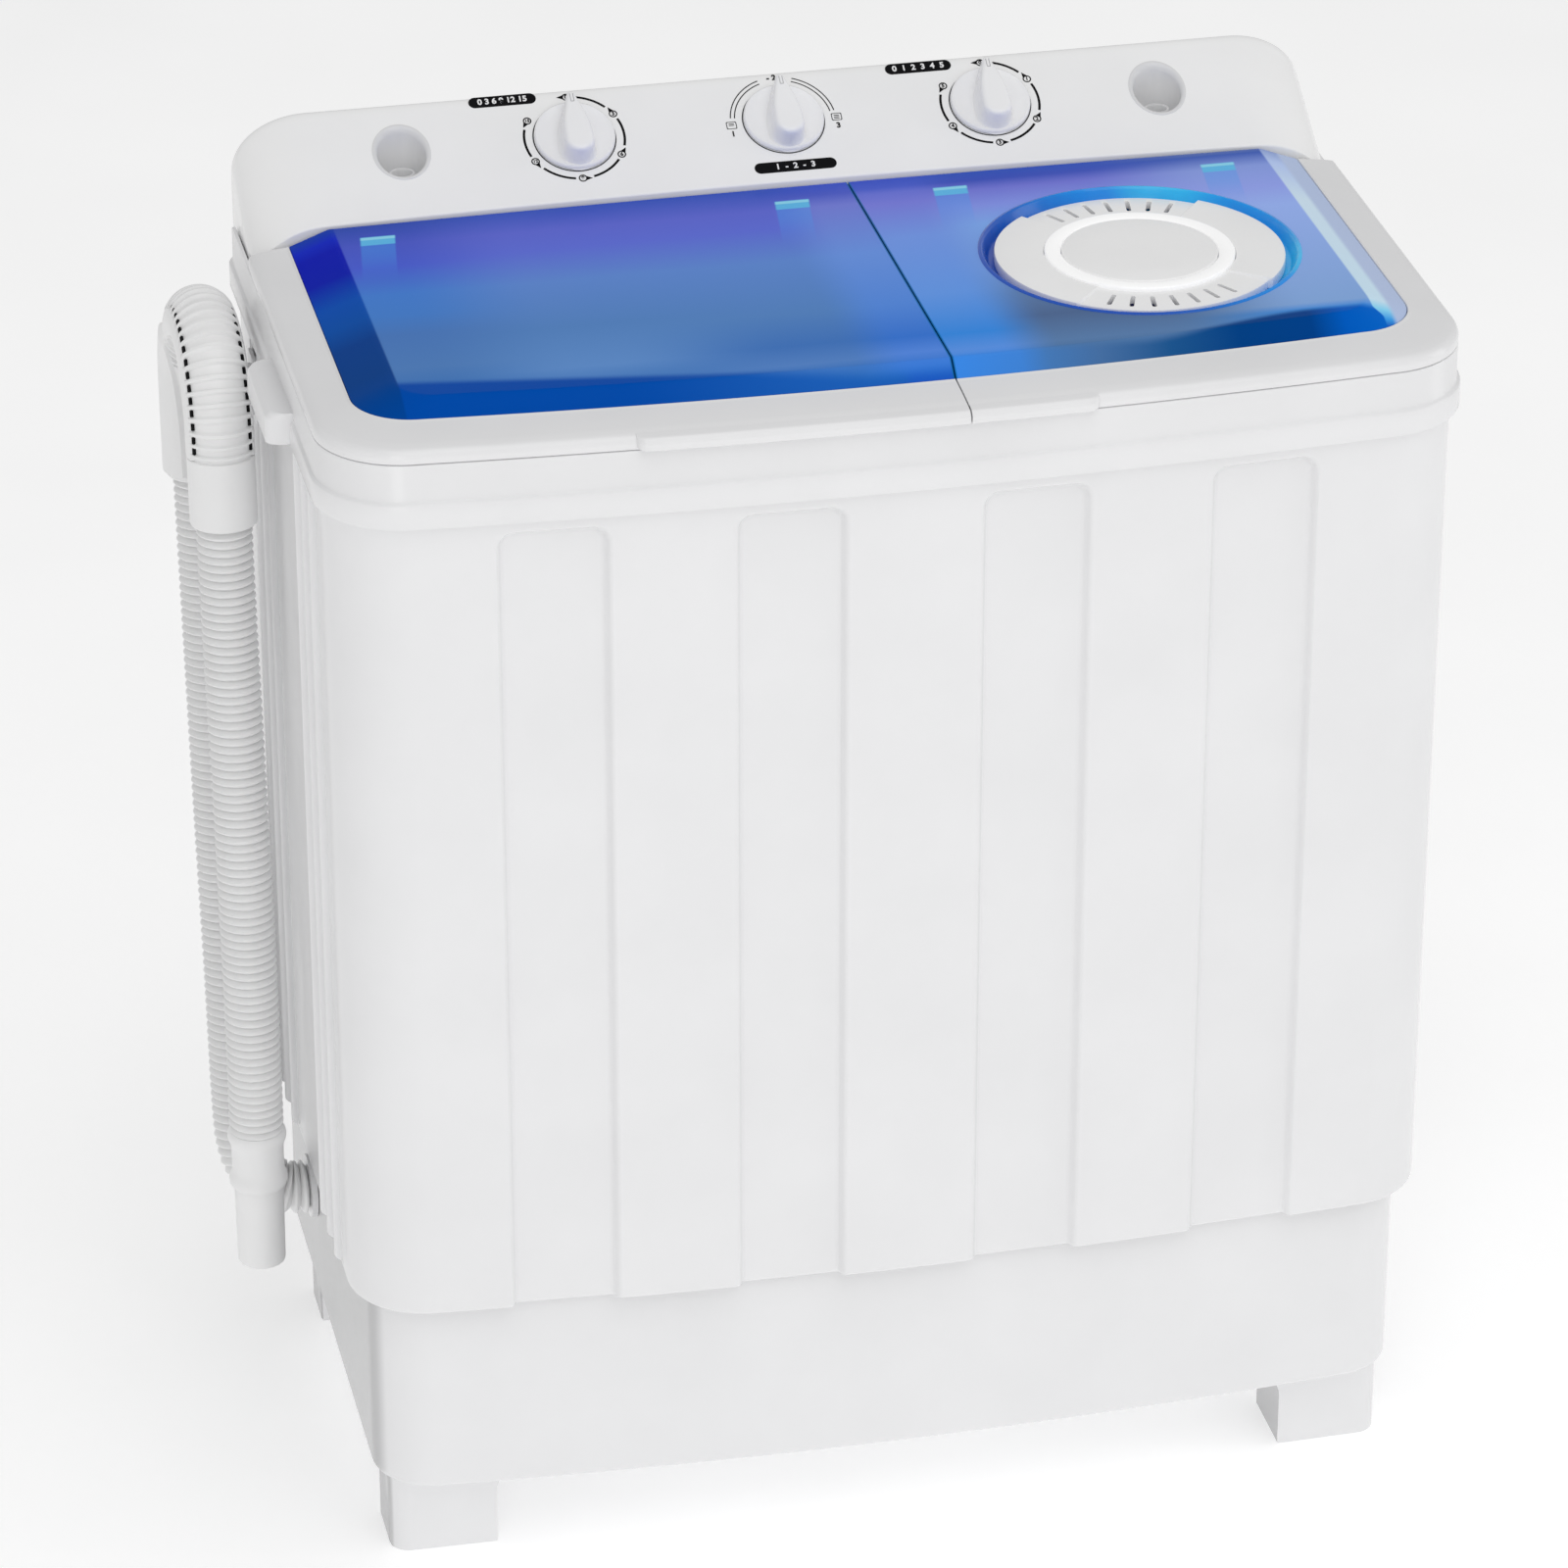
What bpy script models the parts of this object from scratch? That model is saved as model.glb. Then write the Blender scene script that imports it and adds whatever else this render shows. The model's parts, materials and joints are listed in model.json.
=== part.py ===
"""Twin tub washer: a wash tub and a spin tub in one plastic cabinet, with a drain hose on its left side.

Metres, +Z up, front towards -Y. The origin is on the floor, under the middle of the machine.
"""

import math

import bmesh
import bpy
from mathutils import Matrix, Vector

# Cabinet and base
CABINET_HALF_WIDTH = 0.355
CABINET_FRONT_Y = -0.183
CABINET_REAR_Y = 0.2025
FRONT_BOW = 0.0165
FRONT_CORNER_RADIUS = 0.052
REAR_CORNER_RADIUS = 0.012
WALL = 0.003
GAP = 0.0004

FOOT_HEIGHT = 0.0566
FOOT_INNER_X = 0.265
FOOT_OUTER_X = 0.334
FOOT_DEPTH = 0.046
FOOT_FRONT_Y = -0.155
FOOT_FILLET = 0.012
FOOT_BEVEL = 0.012
FOOT_BEVEL_SHARE = 0.3
FEET_MIRROR_Y = 0.022
BASE_INSET = 0.0125
BASE_TOP_Z = 0.240
BASE_FLOOR = 0.004
BASE_VENT_RADIUS = 0.035
BASE_VENT_Y = -0.020
CABINET_BOTTOM_Z = 0.197
CABINET_TOP_Z = 0.7755

RECESS_CENTRES = (-0.2225, -0.0765, 0.0765, 0.2225)
RECESS_WIDTH = 0.070
RECESS_DEPTH = 0.0055
RECESS_STEP = 0.005
RECESS_TOP_Z = 0.742
RIB_CENTRES = (-0.111, -0.083, -0.055, 0.065, 0.093, 0.121)
RIB_WIDTH = 0.005
RIB_HEIGHT = 0.0025
RIB_TOP_Z = 0.750
BACK_OPENING_HALF = 0.300
BACK_OPENING_Z = (0.260, 0.720)
COVER_MARGIN = 0.015
COVER_THICKNESS = 0.0022
COVER_RIB_COUNT = 6
COVER_RIB_PITCH = 0.100
COVER_RIB_HALF = 0.008
COVER_RIB_Z = (0.300, 0.680)
COVER_RIB_HEIGHT = 0.0040

# Top frame, lids and console
SKIRT_BOTTOM_Z = 0.7534
SKIRT_STEP_Z = 0.7700
SPLIT_Z = 0.7950
SKIRT_OUT = 0.0060
FRAME_OUT = 0.0035
DECK_Z = 0.7790
DECK_THICKNESS = 0.0030
GRIP_Y = (-0.060, 0.024)
GRIP_OUT = 0.0205
GRIP_Z = (0.7550, 0.7760)
GRIP_WALL = 0.0025
GRIP_CHAMFER = 0.006
GRIP_TOP_EDGE = 0.004
CONSOLE_NOTCH_Y = 0.190

SEAM_X = 0.032
SEAM_GAP = 0.0010
WINDOW_EDGE_Z = 0.8077
PLATEAU_Z = 0.8170
WINDOW_HALF_WIDTH = 0.3315
WINDOW_FRONT_Y = -0.1505
WINDOW_CORNER_RADIUS = 0.038
BEVEL_SIDE = 0.026
BEVEL_FRONT = 0.012
LID_REAR_Y = 0.1200
REAR_BOW = 0.0050
CONSOLE_BOW = 0.0045
LID_SHELL = 0.0028
HINGE_Y = 0.1130
HINGE_Z = 0.8095
HINGE_RADIUS = 0.0042
HINGE_HALF_WIDTH = 0.0130
HINGE_ARM = 0.030
HINGE_POST_HALF = 0.0100
HINGE_POST_Y = (-0.0070, 0.0025)
HINGE_XS = {"wash": (-0.268, 0.000), "spin": (0.104, 0.282)}
LIP_X = (-0.172, 0.113)
LIP_Z = (0.7958, 0.8045)
LIP_OUT = 0.0055

VENT_X = 0.187
VENT_Y = -0.021
DISH_RADIUS = 0.0995
DISH_WALL = 0.0025
DISH_DEPTH = 0.0080
DISH_HOLE_RADIUS = 0.086
VENT_DISC_RADIUS = 0.0915
VENT_DISC_TOP_Z = 0.8145
VENT_SLOT_RADII = (0.066, 0.083)
VENT_SLOT_WIDTH = 0.0024
VENT_SLOT_COUNT = 8
VENT_SLOT_PITCH = 8.6
VENT_SLOT_STARTS = (60, 244)
VENT_RING_RADII = (0.0520, 0.0603)
VENT_CAP_RADIUS = 0.0508

CONSOLE_HALF_WIDTH = 0.355
CONSOLE_BOTTOM_Z = 0.7790
CONSOLE_FRONT_Y = 0.1240
CONSOLE_REAR_Y = 0.2085
CONSOLE_SLOPE = math.radians(31.0)
CONSOLE_ROLL = 0.048
CONSOLE_DROP = 0.036
CONSOLE_SHELL = 0.0025
CONTROL_S = 0.0540
KNOB_XS = {"wash_timer": -0.1375, "wash_selector": 0.0, "spin_timer": 0.1375}
KNOB_RADIUS = 0.0265
KNOB_BASE_HEIGHT = 0.0045
GRIP_HEIGHT = 0.0180
DROP_HALF_WIDTH = 0.0100
DROP_NOSE_HALF = 0.0030
DROP_SWELL = 0.0016
DROP_TAIL_Y = -0.0120
DROP_NOSE_Y = 0.0240
SWITCH_RADIUS = 0.019
SWITCH_DEPTH = 0.034
STEM_RADIUS = 0.0045
STEM_LENGTH = 0.0120
INLET_X = 0.250
INLET_RADIUS = 0.0155
INLET_RIM = 0.0030
INLET_FLOOR_DROP = 0.0220
SPIGOT_RADIUS = 0.0085
SPIGOT_BORE = 0.0062
SPIGOT_REACH = 0.0080

# Tubs and drive
WASH_X = -0.165
WASH_Y = -0.018
WASH_HALF = (0.152, 0.142)
WASH_CORNER = 0.060
WASH_FLOOR_Z = 0.330
TUB_WALL = 0.0028
TUB_RIM = 0.004
TUB_LEDGE = 0.012
SPIN_X = 0.190
SPIN_Y = -0.020
SPIN_OUTER_RADIUS = 0.138
SPIN_FLOOR_Z = 0.300
BASKET_RADIUS = 0.112
BASKET_Z = (0.345, 0.735)
PULSATOR_RADIUS = 0.118
PULSATOR_FIN_COUNT = 6
SHAFT_RADIUS = 0.0075
HOUSING_BORE = 0.0085
HOUSING_BOTTOM_Z = 0.205
PULLEY_Z = 0.125
PULLEY_HALF_WIDTH = 0.008
PULLEY_GROOVE = 0.006
BELT_HALF_WIDTH = 0.0022
LARGE_PULLEY_RADIUS = 0.090
MOTOR_PULLEY_RADIUS = 0.030
WASH_MOTOR_X = 0.030
WASH_MOTOR_Y = 0.100
WASH_MOTOR_Z = (0.160, 0.242)
WASH_MOTOR_RADIUS = 0.052
MOTOR_SHAFT_RADIUS = 0.0065
SPIN_MOTOR_Z = (0.115, 0.205)
SPIN_MOTOR_FLANGE_RADIUS = 0.082
OPENING_SPIN_RADIUS = 0.118
BRAKE_PIVOT = (0.060, 0.060)
BRAKE_SHOE_RADII = (0.0545, 0.0610)
BRAKE_LEVER_Z = (0.244, 0.258)
DRUM_RADIUS = 0.046
DRUM_Z = (0.240, 0.262)
MOUNT_RADII = (0.0085, 0.0110)
MOUNT_CIRCLE = 0.070

FILTER_Z = (0.400, 0.720)
FILTER_HALF_WIDTH = 0.035
FILTER_BAY = 0.012

# Drain hose
HOSE_RADIUS = 0.018
OUTLET = (-0.3425, 0.0880, 0.1360)
HOOK_RADII = (0.0196, 0.0225)
HOSE_ROUTE = (
    (-0.3540, 0.0880, 0.1360),
    (-0.3620, 0.0885, 0.1370),
    (-0.3725, 0.0900, 0.1420),
    (-0.3835, 0.0930, 0.1550),
    (-0.3890, 0.0965, 0.1750),
    (-0.3900, 0.1020, 0.2100),
    (-0.3900, 0.1100, 0.2890),
    (-0.3900, 0.1260, 0.3900),
    (-0.3900, 0.1460, 0.5600),
    (-0.3900, 0.1550, 0.6400),
    (-0.3900, 0.1580, 0.7000),
    (-0.3900, 0.1540, 0.7310),
    (-0.3900, 0.1360, 0.7560),
    (-0.3900, 0.1040, 0.7660),
    (-0.3900, 0.0720, 0.7560),
    (-0.3900, 0.0540, 0.7310),
    (-0.3900, 0.0490, 0.7000),
    (-0.3900, 0.0440, 0.6150),
    (-0.3900, 0.0300, 0.5000),
    (-0.3900, 0.0180, 0.4100),
    (-0.3900, 0.0112, 0.3000),
    (-0.3900, 0.0108, 0.2320),
)
HOSE_STEP = 0.024
HOOK_FROM_Z = 0.645
HOOK_TO_Z = 0.660
NOZZLE_LENGTH = 0.100
NOZZLE_COLLAR = 0.028
NOZZLE_RADII = (0.0130, 0.0155)

# Drain valve, pipes and cord gland
GLAND_XZ = (0.290, 0.160)
VALVE_XY = (0.030, -0.110)
VALVE_RADIUS = 0.026
VALVE_BORE = 0.0085
OUTLET_RADIUS = 0.0140
GLAND_RADIUS = 0.0105
GLAND_BORE = 0.0045
PIPE_RADIUS = 0.0090
DRAIN_ROUTE = (
    (-0.0250, -0.1120, 0.2160),
    (-0.0800, -0.1250, 0.2050),
    (-0.1700, -0.1300, 0.1900),
    (-0.2400, -0.1100, 0.1750),
    (-0.2750, -0.0500, 0.1600),
    (-0.2780, 0.0200, 0.1450),
    (-0.2800, 0.0650, 0.1375),
    (-0.2900, 0.0850, 0.1360),
    (-0.2990, 0.0880, 0.1360),
    (-0.3060, 0.0880, 0.1360),
)
WASH_DRAIN_ROUTE = (
    (-0.0180, -0.1080, 0.2500),
    (-0.0420, -0.1020, 0.2650),
    (-0.0550, -0.0980, 0.2900),
    (-0.0560, -0.0975, 0.3180),
    (-0.0560, -0.0975, 0.3268),
)
SPIN_DRAIN_ROUTE = (
    (0.0720, -0.1080, 0.2490),
    (0.0880, -0.1020, 0.2580),
    (0.0960, -0.0960, 0.2750),
    (0.0970, -0.0950, 0.2900),
    (0.0970, -0.0950, 0.2968),
)


# ---------------------------------------------------------------- helpers


def clear_scene():
    for obj in list(bpy.data.objects):
        bpy.data.objects.remove(obj, do_unlink=True)


def material(name, colour, roughness, metallic=0.0):
    mat = bpy.data.materials.new(name)
    mat.use_nodes = True
    shader = mat.node_tree.nodes["Principled BSDF"]
    shader.inputs["Base Color"].default_value = (*colour, 1.0)
    shader.inputs["Roughness"].default_value = roughness
    shader.inputs["Metallic"].default_value = metallic
    return mat


def add_object(name, mesh, mat, sharp=35.0):
    obj = bpy.data.objects.new(name, mesh)
    bpy.context.scene.collection.objects.link(obj)
    if mat is not None:
        mesh.materials.append(mat)
        mesh.shade_smooth()
        mesh.set_sharp_from_angle(angle=math.radians(sharp))
    return obj


def mesh_from_bmesh(name, bm):
    bmesh.ops.recalc_face_normals(bm, faces=bm.faces[:])
    mesh = bpy.data.meshes.new(name)
    bm.to_mesh(mesh)
    bm.free()
    return mesh


def loft(name, loops, mat, ring=False, sharp=35.0):
    """A closed solid through loops of equal count: capped at both ends, or closed on itself as a ring."""
    bm = bmesh.new()
    rows = [[bm.verts.new(p) for p in loop] for loop in loops]
    pairs = list(zip(rows, rows[1:]))
    if ring:
        pairs.append((rows[-1], rows[0]))
    for low, high in pairs:
        count = len(low)
        for i in range(count):
            j = (i + 1) % count
            bm.faces.new((low[i], low[j], high[j], high[i]))
    if not ring:
        bm.faces.new(rows[0])
        bm.faces.new(rows[-1])
    return add_object(name, mesh_from_bmesh(name, bm), mat, sharp)


def at_z(outline, z):
    return [(x, y, z) for x, y in outline]


def circle(cx, cy, radius, count=32, start=0.0):
    angles = [start + 2 * math.pi * i / count for i in range(count)]
    return [(cx + radius * math.cos(a), cy + radius * math.sin(a)) for a in angles]


def rounded_rect(cx, cy, half_x, half_y, radius, steps=5):
    points = []
    corners = ((1, 1, 0.0), (-1, 1, 90.0), (-1, -1, 180.0), (1, -1, 270.0))
    for sx, sy, first in corners:
        ox = cx + sx * (half_x - radius)
        oy = cy + sy * (half_y - radius)
        for i in range(steps + 1):
            a = math.radians(first + 90.0 * i / steps)
            points.append((ox + radius * math.cos(a), oy + radius * math.sin(a)))
    return points


def turned(name, profile, mat, centre=(0.0, 0.0), count=32, ring=False, sharp=35.0):
    """A turned solid: profile lists (radius, z); the first and last radii are capped discs."""
    loops = [at_z(circle(*centre, r, count), z) for r, z in profile]
    return loft(name, loops, mat, ring, sharp)


def box(name, low, high, mat):
    corners = [(low[0], low[1]), (high[0], low[1]), (high[0], high[1]), (low[0], high[1])]
    return loft(name, [at_z(corners, low[2]), at_z(corners, high[2])], mat)


def boolean(obj, cutter, operation):
    cutter.hide_render = True
    cutter.display_type = "WIRE"
    step = obj.modifiers.new(cutter.name, "BOOLEAN")
    step.operation = operation
    step.solver = "EXACT"
    step.object = cutter


def cut(obj, *cutters):
    for cutter in cutters:
        boolean(obj, cutter, "DIFFERENCE")


def join(obj, *others):
    for other in others:
        boolean(obj, other, "UNION")


def cylinder_between(name, start, end, radius, mat, count=24):
    """A cylinder from start to end."""
    start = Vector(start)
    axis = Vector(end) - start
    turn = axis.to_track_quat("Z", "Y").to_matrix()
    loops = []
    for along in (Vector((0, 0, 0)), Vector((0, 0, axis.length))):
        loops.append([start + turn @ (Vector((x, y, 0)) + along) for x, y in circle(0, 0, radius, count)])
    return loft(name, loops, mat)


def body_outline(out, recess=0.0, rib=0.0, plain=False, arc_steps=6):
    """The cabinet's plan, `out` metres outside its wall, from the rear left corner round to the rear right.

    A plain plan leaves out the points that the front's recesses and the sides' ribs need.
    """
    half = CABINET_HALF_WIDTH + out
    front = CABINET_FRONT_Y - out
    rear = CABINET_REAR_Y + out
    radius = FRONT_CORNER_RADIUS + out
    flat = half - radius

    def front_y(x):
        return front - FRONT_BOW * (1 - (x / half) ** 2)

    side = []
    for centre in () if plain else reversed(RIB_CENTRES):
        for offset, height in ((0.5, 0.0), (0.3, rib), (-0.3, rib), (-0.5, 0.0)):
            side.append((half + height, centre + offset * RIB_WIDTH))
    corner = []
    corner_y = front_y(flat)
    for i in range(arc_steps + 1):
        a = math.radians(90.0 * i / arc_steps)
        corner.append((flat + radius * math.cos(a), corner_y + radius - radius * math.sin(a)))
    stations = [(0.0, 0.0), (-0.15, 0.0), (0.15, 0.0)]
    for centre in () if plain else RECESS_CENTRES:
        left = centre - RECESS_WIDTH / 2
        right = centre + RECESS_WIDTH / 2
        stations += [(left, 0.0), (left + RECESS_STEP, recess), (centre, recess)]
        stations += [(right - RECESS_STEP, recess), (right, 0.0)]
    if plain:
        stations += [(-0.225, 0.0), (-0.075, 0.0), (0.075, 0.0), (0.225, 0.0)]
    front_points = [(x, front_y(x) + depth) for x, depth in sorted(stations)]
    rear_arc = []
    rear_radius = max(REAR_CORNER_RADIUS + out, 0.004)
    for i in range(4):
        a = math.radians(30.0 * i)
        x = half - rear_radius * (1 - math.sin(a))
        rear_arc.append((x, rear - rear_radius * (1 - math.cos(a))))
    right_side = rear_arc + side + corner
    left_side = [(-x, y) for x, y in right_side]
    return left_side + front_points + right_side[::-1]


# ---------------------------------------------------------------- materials


def make_materials():
    return {
        "white": material("cabinet_white", (0.86, 0.86, 0.86), 0.28),
        "console": material("console_white", (0.78, 0.78, 0.78), 0.30),
        "blue": material("lid_blue", (0.03, 0.20, 0.62), 0.15),
        "hose": material("hose_white", (0.80, 0.80, 0.80), 0.40),
        "tub": material("tub_white", (0.80, 0.82, 0.84), 0.30),
        "grey": material("inner_grey", (0.30, 0.30, 0.31), 0.45),
        "dark": material("rubber_black", (0.03, 0.03, 0.03), 0.60),
        "steel": material("zinc_steel", (0.62, 0.62, 0.60), 0.35, 1.0),
        "motor": material("motor_steel", (0.45, 0.46, 0.48), 0.40, 1.0),
    }


# ---------------------------------------------------------------- base and cabinet


def make_base(mats):
    outer = body_outline(-BASE_INSET, plain=True)
    inner = body_outline(-BASE_INSET - WALL, plain=True)
    floor_top = FOOT_HEIGHT + BASE_FLOOR
    loops = [
        at_z(inner, floor_top),
        at_z(inner, BASE_TOP_Z),
        at_z(outer, BASE_TOP_Z),
        at_z(outer, FOOT_HEIGHT),
    ]
    base = loft("base_frame", loops, mats["white"])
    for name, cx in (("base_vent_left", WASH_X), ("base_vent_right", SPIN_X)):
        hole = circle(cx, BASE_VENT_Y, BASE_VENT_RADIUS, 16)
        levels = (FOOT_HEIGHT - 0.0166, floor_top + 0.0094)
        cut(base, loft(name, [at_z(hole, z) for z in levels], None))
    inside, outside = OUTLET[0] + 0.0125, OUTLET[0] - 0.0075
    radius = OUTLET_RADIUS + 0.0005
    outlet = cylinder_between("outlet_hole", (inside, *OUTLET[1:]), (outside, *OUTLET[1:]), radius, None)
    cut(base, outlet)


def make_foot(name, side, front, mats):
    """A foot with an arched fillet where its inner face meets the base."""
    top = FOOT_HEIGHT - GAP
    profile = [(FOOT_OUTER_X, 0.0), (FOOT_OUTER_X, top)]
    reach = FOOT_INNER_X - FOOT_FILLET
    for i in range(5):
        a = math.radians(22.5 * i)
        profile.append((reach + FOOT_FILLET * math.sin(a), top - FOOT_FILLET * (1 - math.cos(a))))
    profile.append((FOOT_INNER_X, 0.0))
    near = FOOT_BEVEL * FOOT_BEVEL_SHARE
    stations = ((0.0, FOOT_BEVEL), (near, near), (FOOT_BEVEL, 0.0), (FOOT_DEPTH, 0.0))
    loops = []
    for along, inset in stations:
        y = FOOT_FRONT_Y + along
        row = []
        for x, z in profile:
            x_here = min(x, FOOT_OUTER_X - inset)
            row.append((side * x_here, y if front else FEET_MIRROR_Y - y, z))
        loops.append(row)
    loft(name, loops, mats["white"])


def make_feet(mats):
    for front in (True, False):
        for side in (-1, 1):
            name = f"foot_{'front' if front else 'rear'}_{'left' if side < 0 else 'right'}"
            make_foot(name, side, front, mats)


def make_cabinet(mats):
    levels = (
        (CABINET_BOTTOM_Z, RECESS_DEPTH, RIB_HEIGHT),
        (RECESS_TOP_Z, RECESS_DEPTH, RIB_HEIGHT),
        (RECESS_TOP_Z + 0.004, 0.0, RIB_HEIGHT),
        (RIB_TOP_Z, 0.0, 0.0),
        (CABINET_TOP_Z, 0.0, 0.0),
    )
    outer = [at_z(body_outline(0.0, recess, rib), z) for z, recess, rib in levels]
    inner = [at_z(body_outline(-WALL, recess), z) for z, recess, rib in levels if rib or z == CABINET_TOP_Z]
    shell = loft("cabinet_shell", outer + inner[::-1], mats["white"], ring=True)
    low = (-BACK_OPENING_HALF, CABINET_REAR_Y - 0.0125, BACK_OPENING_Z[0])
    high = (BACK_OPENING_HALF, CABINET_REAR_Y + 0.0175, BACK_OPENING_Z[1])
    opening = box("back_opening", low, high, None)
    cut(shell, opening)


def make_back_cover(mats):
    """A flat plate over the opening in the back, with upright stiffening ribs."""
    y_in = CABINET_REAR_Y + GAP
    half = BACK_OPENING_HALF + COVER_MARGIN
    low = (-half, y_in, BACK_OPENING_Z[0] - COVER_MARGIN)
    high = (half, y_in + COVER_THICKNESS, BACK_OPENING_Z[1] + COVER_MARGIN)
    plate = box("back_cover", low, high, mats["white"])
    for i in range(COVER_RIB_COUNT):
        x = (i - (COVER_RIB_COUNT - 1) / 2) * COVER_RIB_PITCH
        low = (x - COVER_RIB_HALF, y_in + 0.0010, COVER_RIB_Z[0])
        high = (x + COVER_RIB_HALF, y_in + COVER_RIB_HEIGHT, COVER_RIB_Z[1])
        join(plate, box(f"back_rib_{i}", low, high, None))


# ---------------------------------------------------------------- top frame


def make_top_frame(mats):
    inside = body_outline(GAP, plain=True)
    skirt = body_outline(SKIRT_OUT, plain=True)
    rim = body_outline(FRAME_OUT, plain=True)
    rim_inside = body_outline(FRAME_OUT - 0.0025, plain=True)
    loops = [
        at_z(inside, DECK_Z - DECK_THICKNESS),
        at_z(inside, SKIRT_BOTTOM_Z),
        at_z(skirt, SKIRT_BOTTOM_Z),
        at_z(skirt, SKIRT_STEP_Z),
        at_z(rim, SKIRT_STEP_Z + 0.001),
        at_z(rim, SPLIT_Z),
        at_z(rim_inside, SPLIT_Z),
        at_z(rim_inside, DECK_Z),
    ]
    frame = loft("top_frame", loops, mats["white"])
    for side, name in ((-1, "left"), (1, "right")):
        join(frame, make_grip(name, side))
    half_x, half_y = WASH_HALF[0] - TUB_LEDGE, WASH_HALF[1] - TUB_LEDGE
    wash = rounded_rect(WASH_X, WASH_Y, half_x, half_y, WASH_CORNER - TUB_LEDGE, 5)
    spin = circle(SPIN_X, SPIN_Y, OPENING_SPIN_RADIUS, 28)
    levels = (DECK_Z - 0.019, DECK_Z + 0.021)
    for name, plan in (("wash_opening", wash), ("spin_opening", spin)):
        cut(frame, loft(name, [at_z(plan, z) for z in levels], None))
    for side, name in ((-1, "left"), (1, "right")):
        cut(frame, make_grip_hollow(name, side))
    half = CONSOLE_HALF_WIDTH + 0.015
    low = (-half, CONSOLE_NOTCH_Y, DECK_Z - 0.0005)
    cut(frame, box("console_notch", low, (half, CONSOLE_NOTCH_Y + 0.060, DECK_Z + 0.021), None))
    for x in HINGE_XS["wash"] + HINGE_XS["spin"]:
        low = (x - HINGE_POST_HALF, HINGE_Y + HINGE_POST_Y[0], DECK_Z - 0.0010)
        high = (x + HINGE_POST_HALF, HINGE_Y + HINGE_POST_Y[1], HINGE_Z - HINGE_RADIUS - GAP)
        join(frame, box("hinge_post", low, high, None))


def make_grip(name, side):
    """A hand grip: a ledge that stands out from the side of the frame."""
    out = CABINET_HALF_WIDTH + GRIP_OUT
    inside = CABINET_HALF_WIDTH + RIB_HEIGHT + GAP
    low, high = GRIP_Z
    near = out - GRIP_CHAMFER
    front = [(inside, GRIP_Y[0]), (near, GRIP_Y[0]), (out, GRIP_Y[0] + GRIP_CHAMFER)]
    rear = [(out, GRIP_Y[1] - GRIP_CHAMFER), (near, GRIP_Y[1]), (inside, GRIP_Y[1])]
    plan = [(side * x, y) for x, y in front + rear]
    top = [(side * min(abs(x), out - 0.003), y) for x, y in plan]
    loops = [at_z(plan, low), at_z(plan, high - GRIP_TOP_EDGE), at_z(top, high)]
    return loft(f"grip_block_{name}", loops, None)


def make_grip_hollow(name, side):
    """The finger space under a grip, open downwards."""
    out = CABINET_HALF_WIDTH + GRIP_OUT - GRIP_WALL
    inside = CABINET_HALF_WIDTH + SKIRT_OUT
    low = (min(side * inside, side * out), GRIP_Y[0] + 0.004, GRIP_Z[0] - 0.010)
    high = (max(side * inside, side * out), GRIP_Y[1] - 0.004, GRIP_Z[1] - GRIP_WALL)
    return box(f"grip_hollow_{name}", low, high, None)


# ---------------------------------------------------------------- lids


def front_bow_y(x, edge_y, half):
    return edge_y - FRONT_BOW * (1 - (x / half) ** 2)


def rear_bow_y(x):
    return LID_REAR_Y + REAR_BOW * (1 - (x / CABINET_HALF_WIDTH) ** 2)


def lid_path(seam_x, side, half, front_y, radius, spans):
    """Points from the seam along the bowed front, round the corner and back along the side (-1 or 1)."""
    flat = half - radius
    corner_y = front_bow_y(flat, front_y, half)
    points = []
    for i in range(spans):
        x = seam_x + (side * flat - seam_x) * i / spans
        points.append((x, front_bow_y(x, front_y, half)))
    for i in range(7):
        a = math.radians(15.0 * i)
        points.append((side * (flat + radius * math.sin(a)), corner_y + radius - radius * math.cos(a)))
    x_side = side * half
    points.append((x_side, HINGE_Y - 0.0005))
    points.append((x_side, rear_bow_y(x_side)))
    return points


def make_lid_border(name, seam_x, side, spans, mats):
    """The white border of a lid: the front and the outer side, sloping up to the window.

    Its rear end is cut away below, so that it clears the frame as the lid turns.
    """
    half = CABINET_HALF_WIDTH + FRAME_OUT
    front = CABINET_FRONT_Y - FRAME_OUT
    outer = lid_path(seam_x, side, half, front, FRONT_CORNER_RADIUS + FRAME_OUT, spans)
    half = WINDOW_HALF_WIDTH + GAP
    inner = lid_path(seam_x, side, half, WINDOW_FRONT_Y - GAP, WINDOW_CORNER_RADIUS, spans)
    bottom = SPLIT_Z + 0.0006
    section = (
        (0.0, bottom),
        (0.0, 0.8015),
        (0.10, 0.8045),
        (1.0, WINDOW_EDGE_Z),
        (1.0, WINDOW_EDGE_Z - 0.0080),
        (0.90, WINDOW_EDGE_Z - 0.0080),
        (0.90, 0.8040),
        (0.12, 0.8015),
        (0.10, bottom),
    )
    rear_bottom = bottom + 0.0032
    loops = []
    for number, (o, i) in enumerate(zip(outer, inner)):
        lowest = rear_bottom if number == len(outer) - 1 else bottom
        row = [(o[0] + (i[0] - o[0]) * t, o[1] + (i[1] - o[1]) * t, max(z, lowest)) for t, z in section]
        loops.append(row)
    border = loft(name, loops, mats["white"])
    ends = sorted((seam_x, LIP_X[0] if side < 0 else LIP_X[1]))
    join(border, make_lip(f"{name}_lip", ends))


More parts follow.
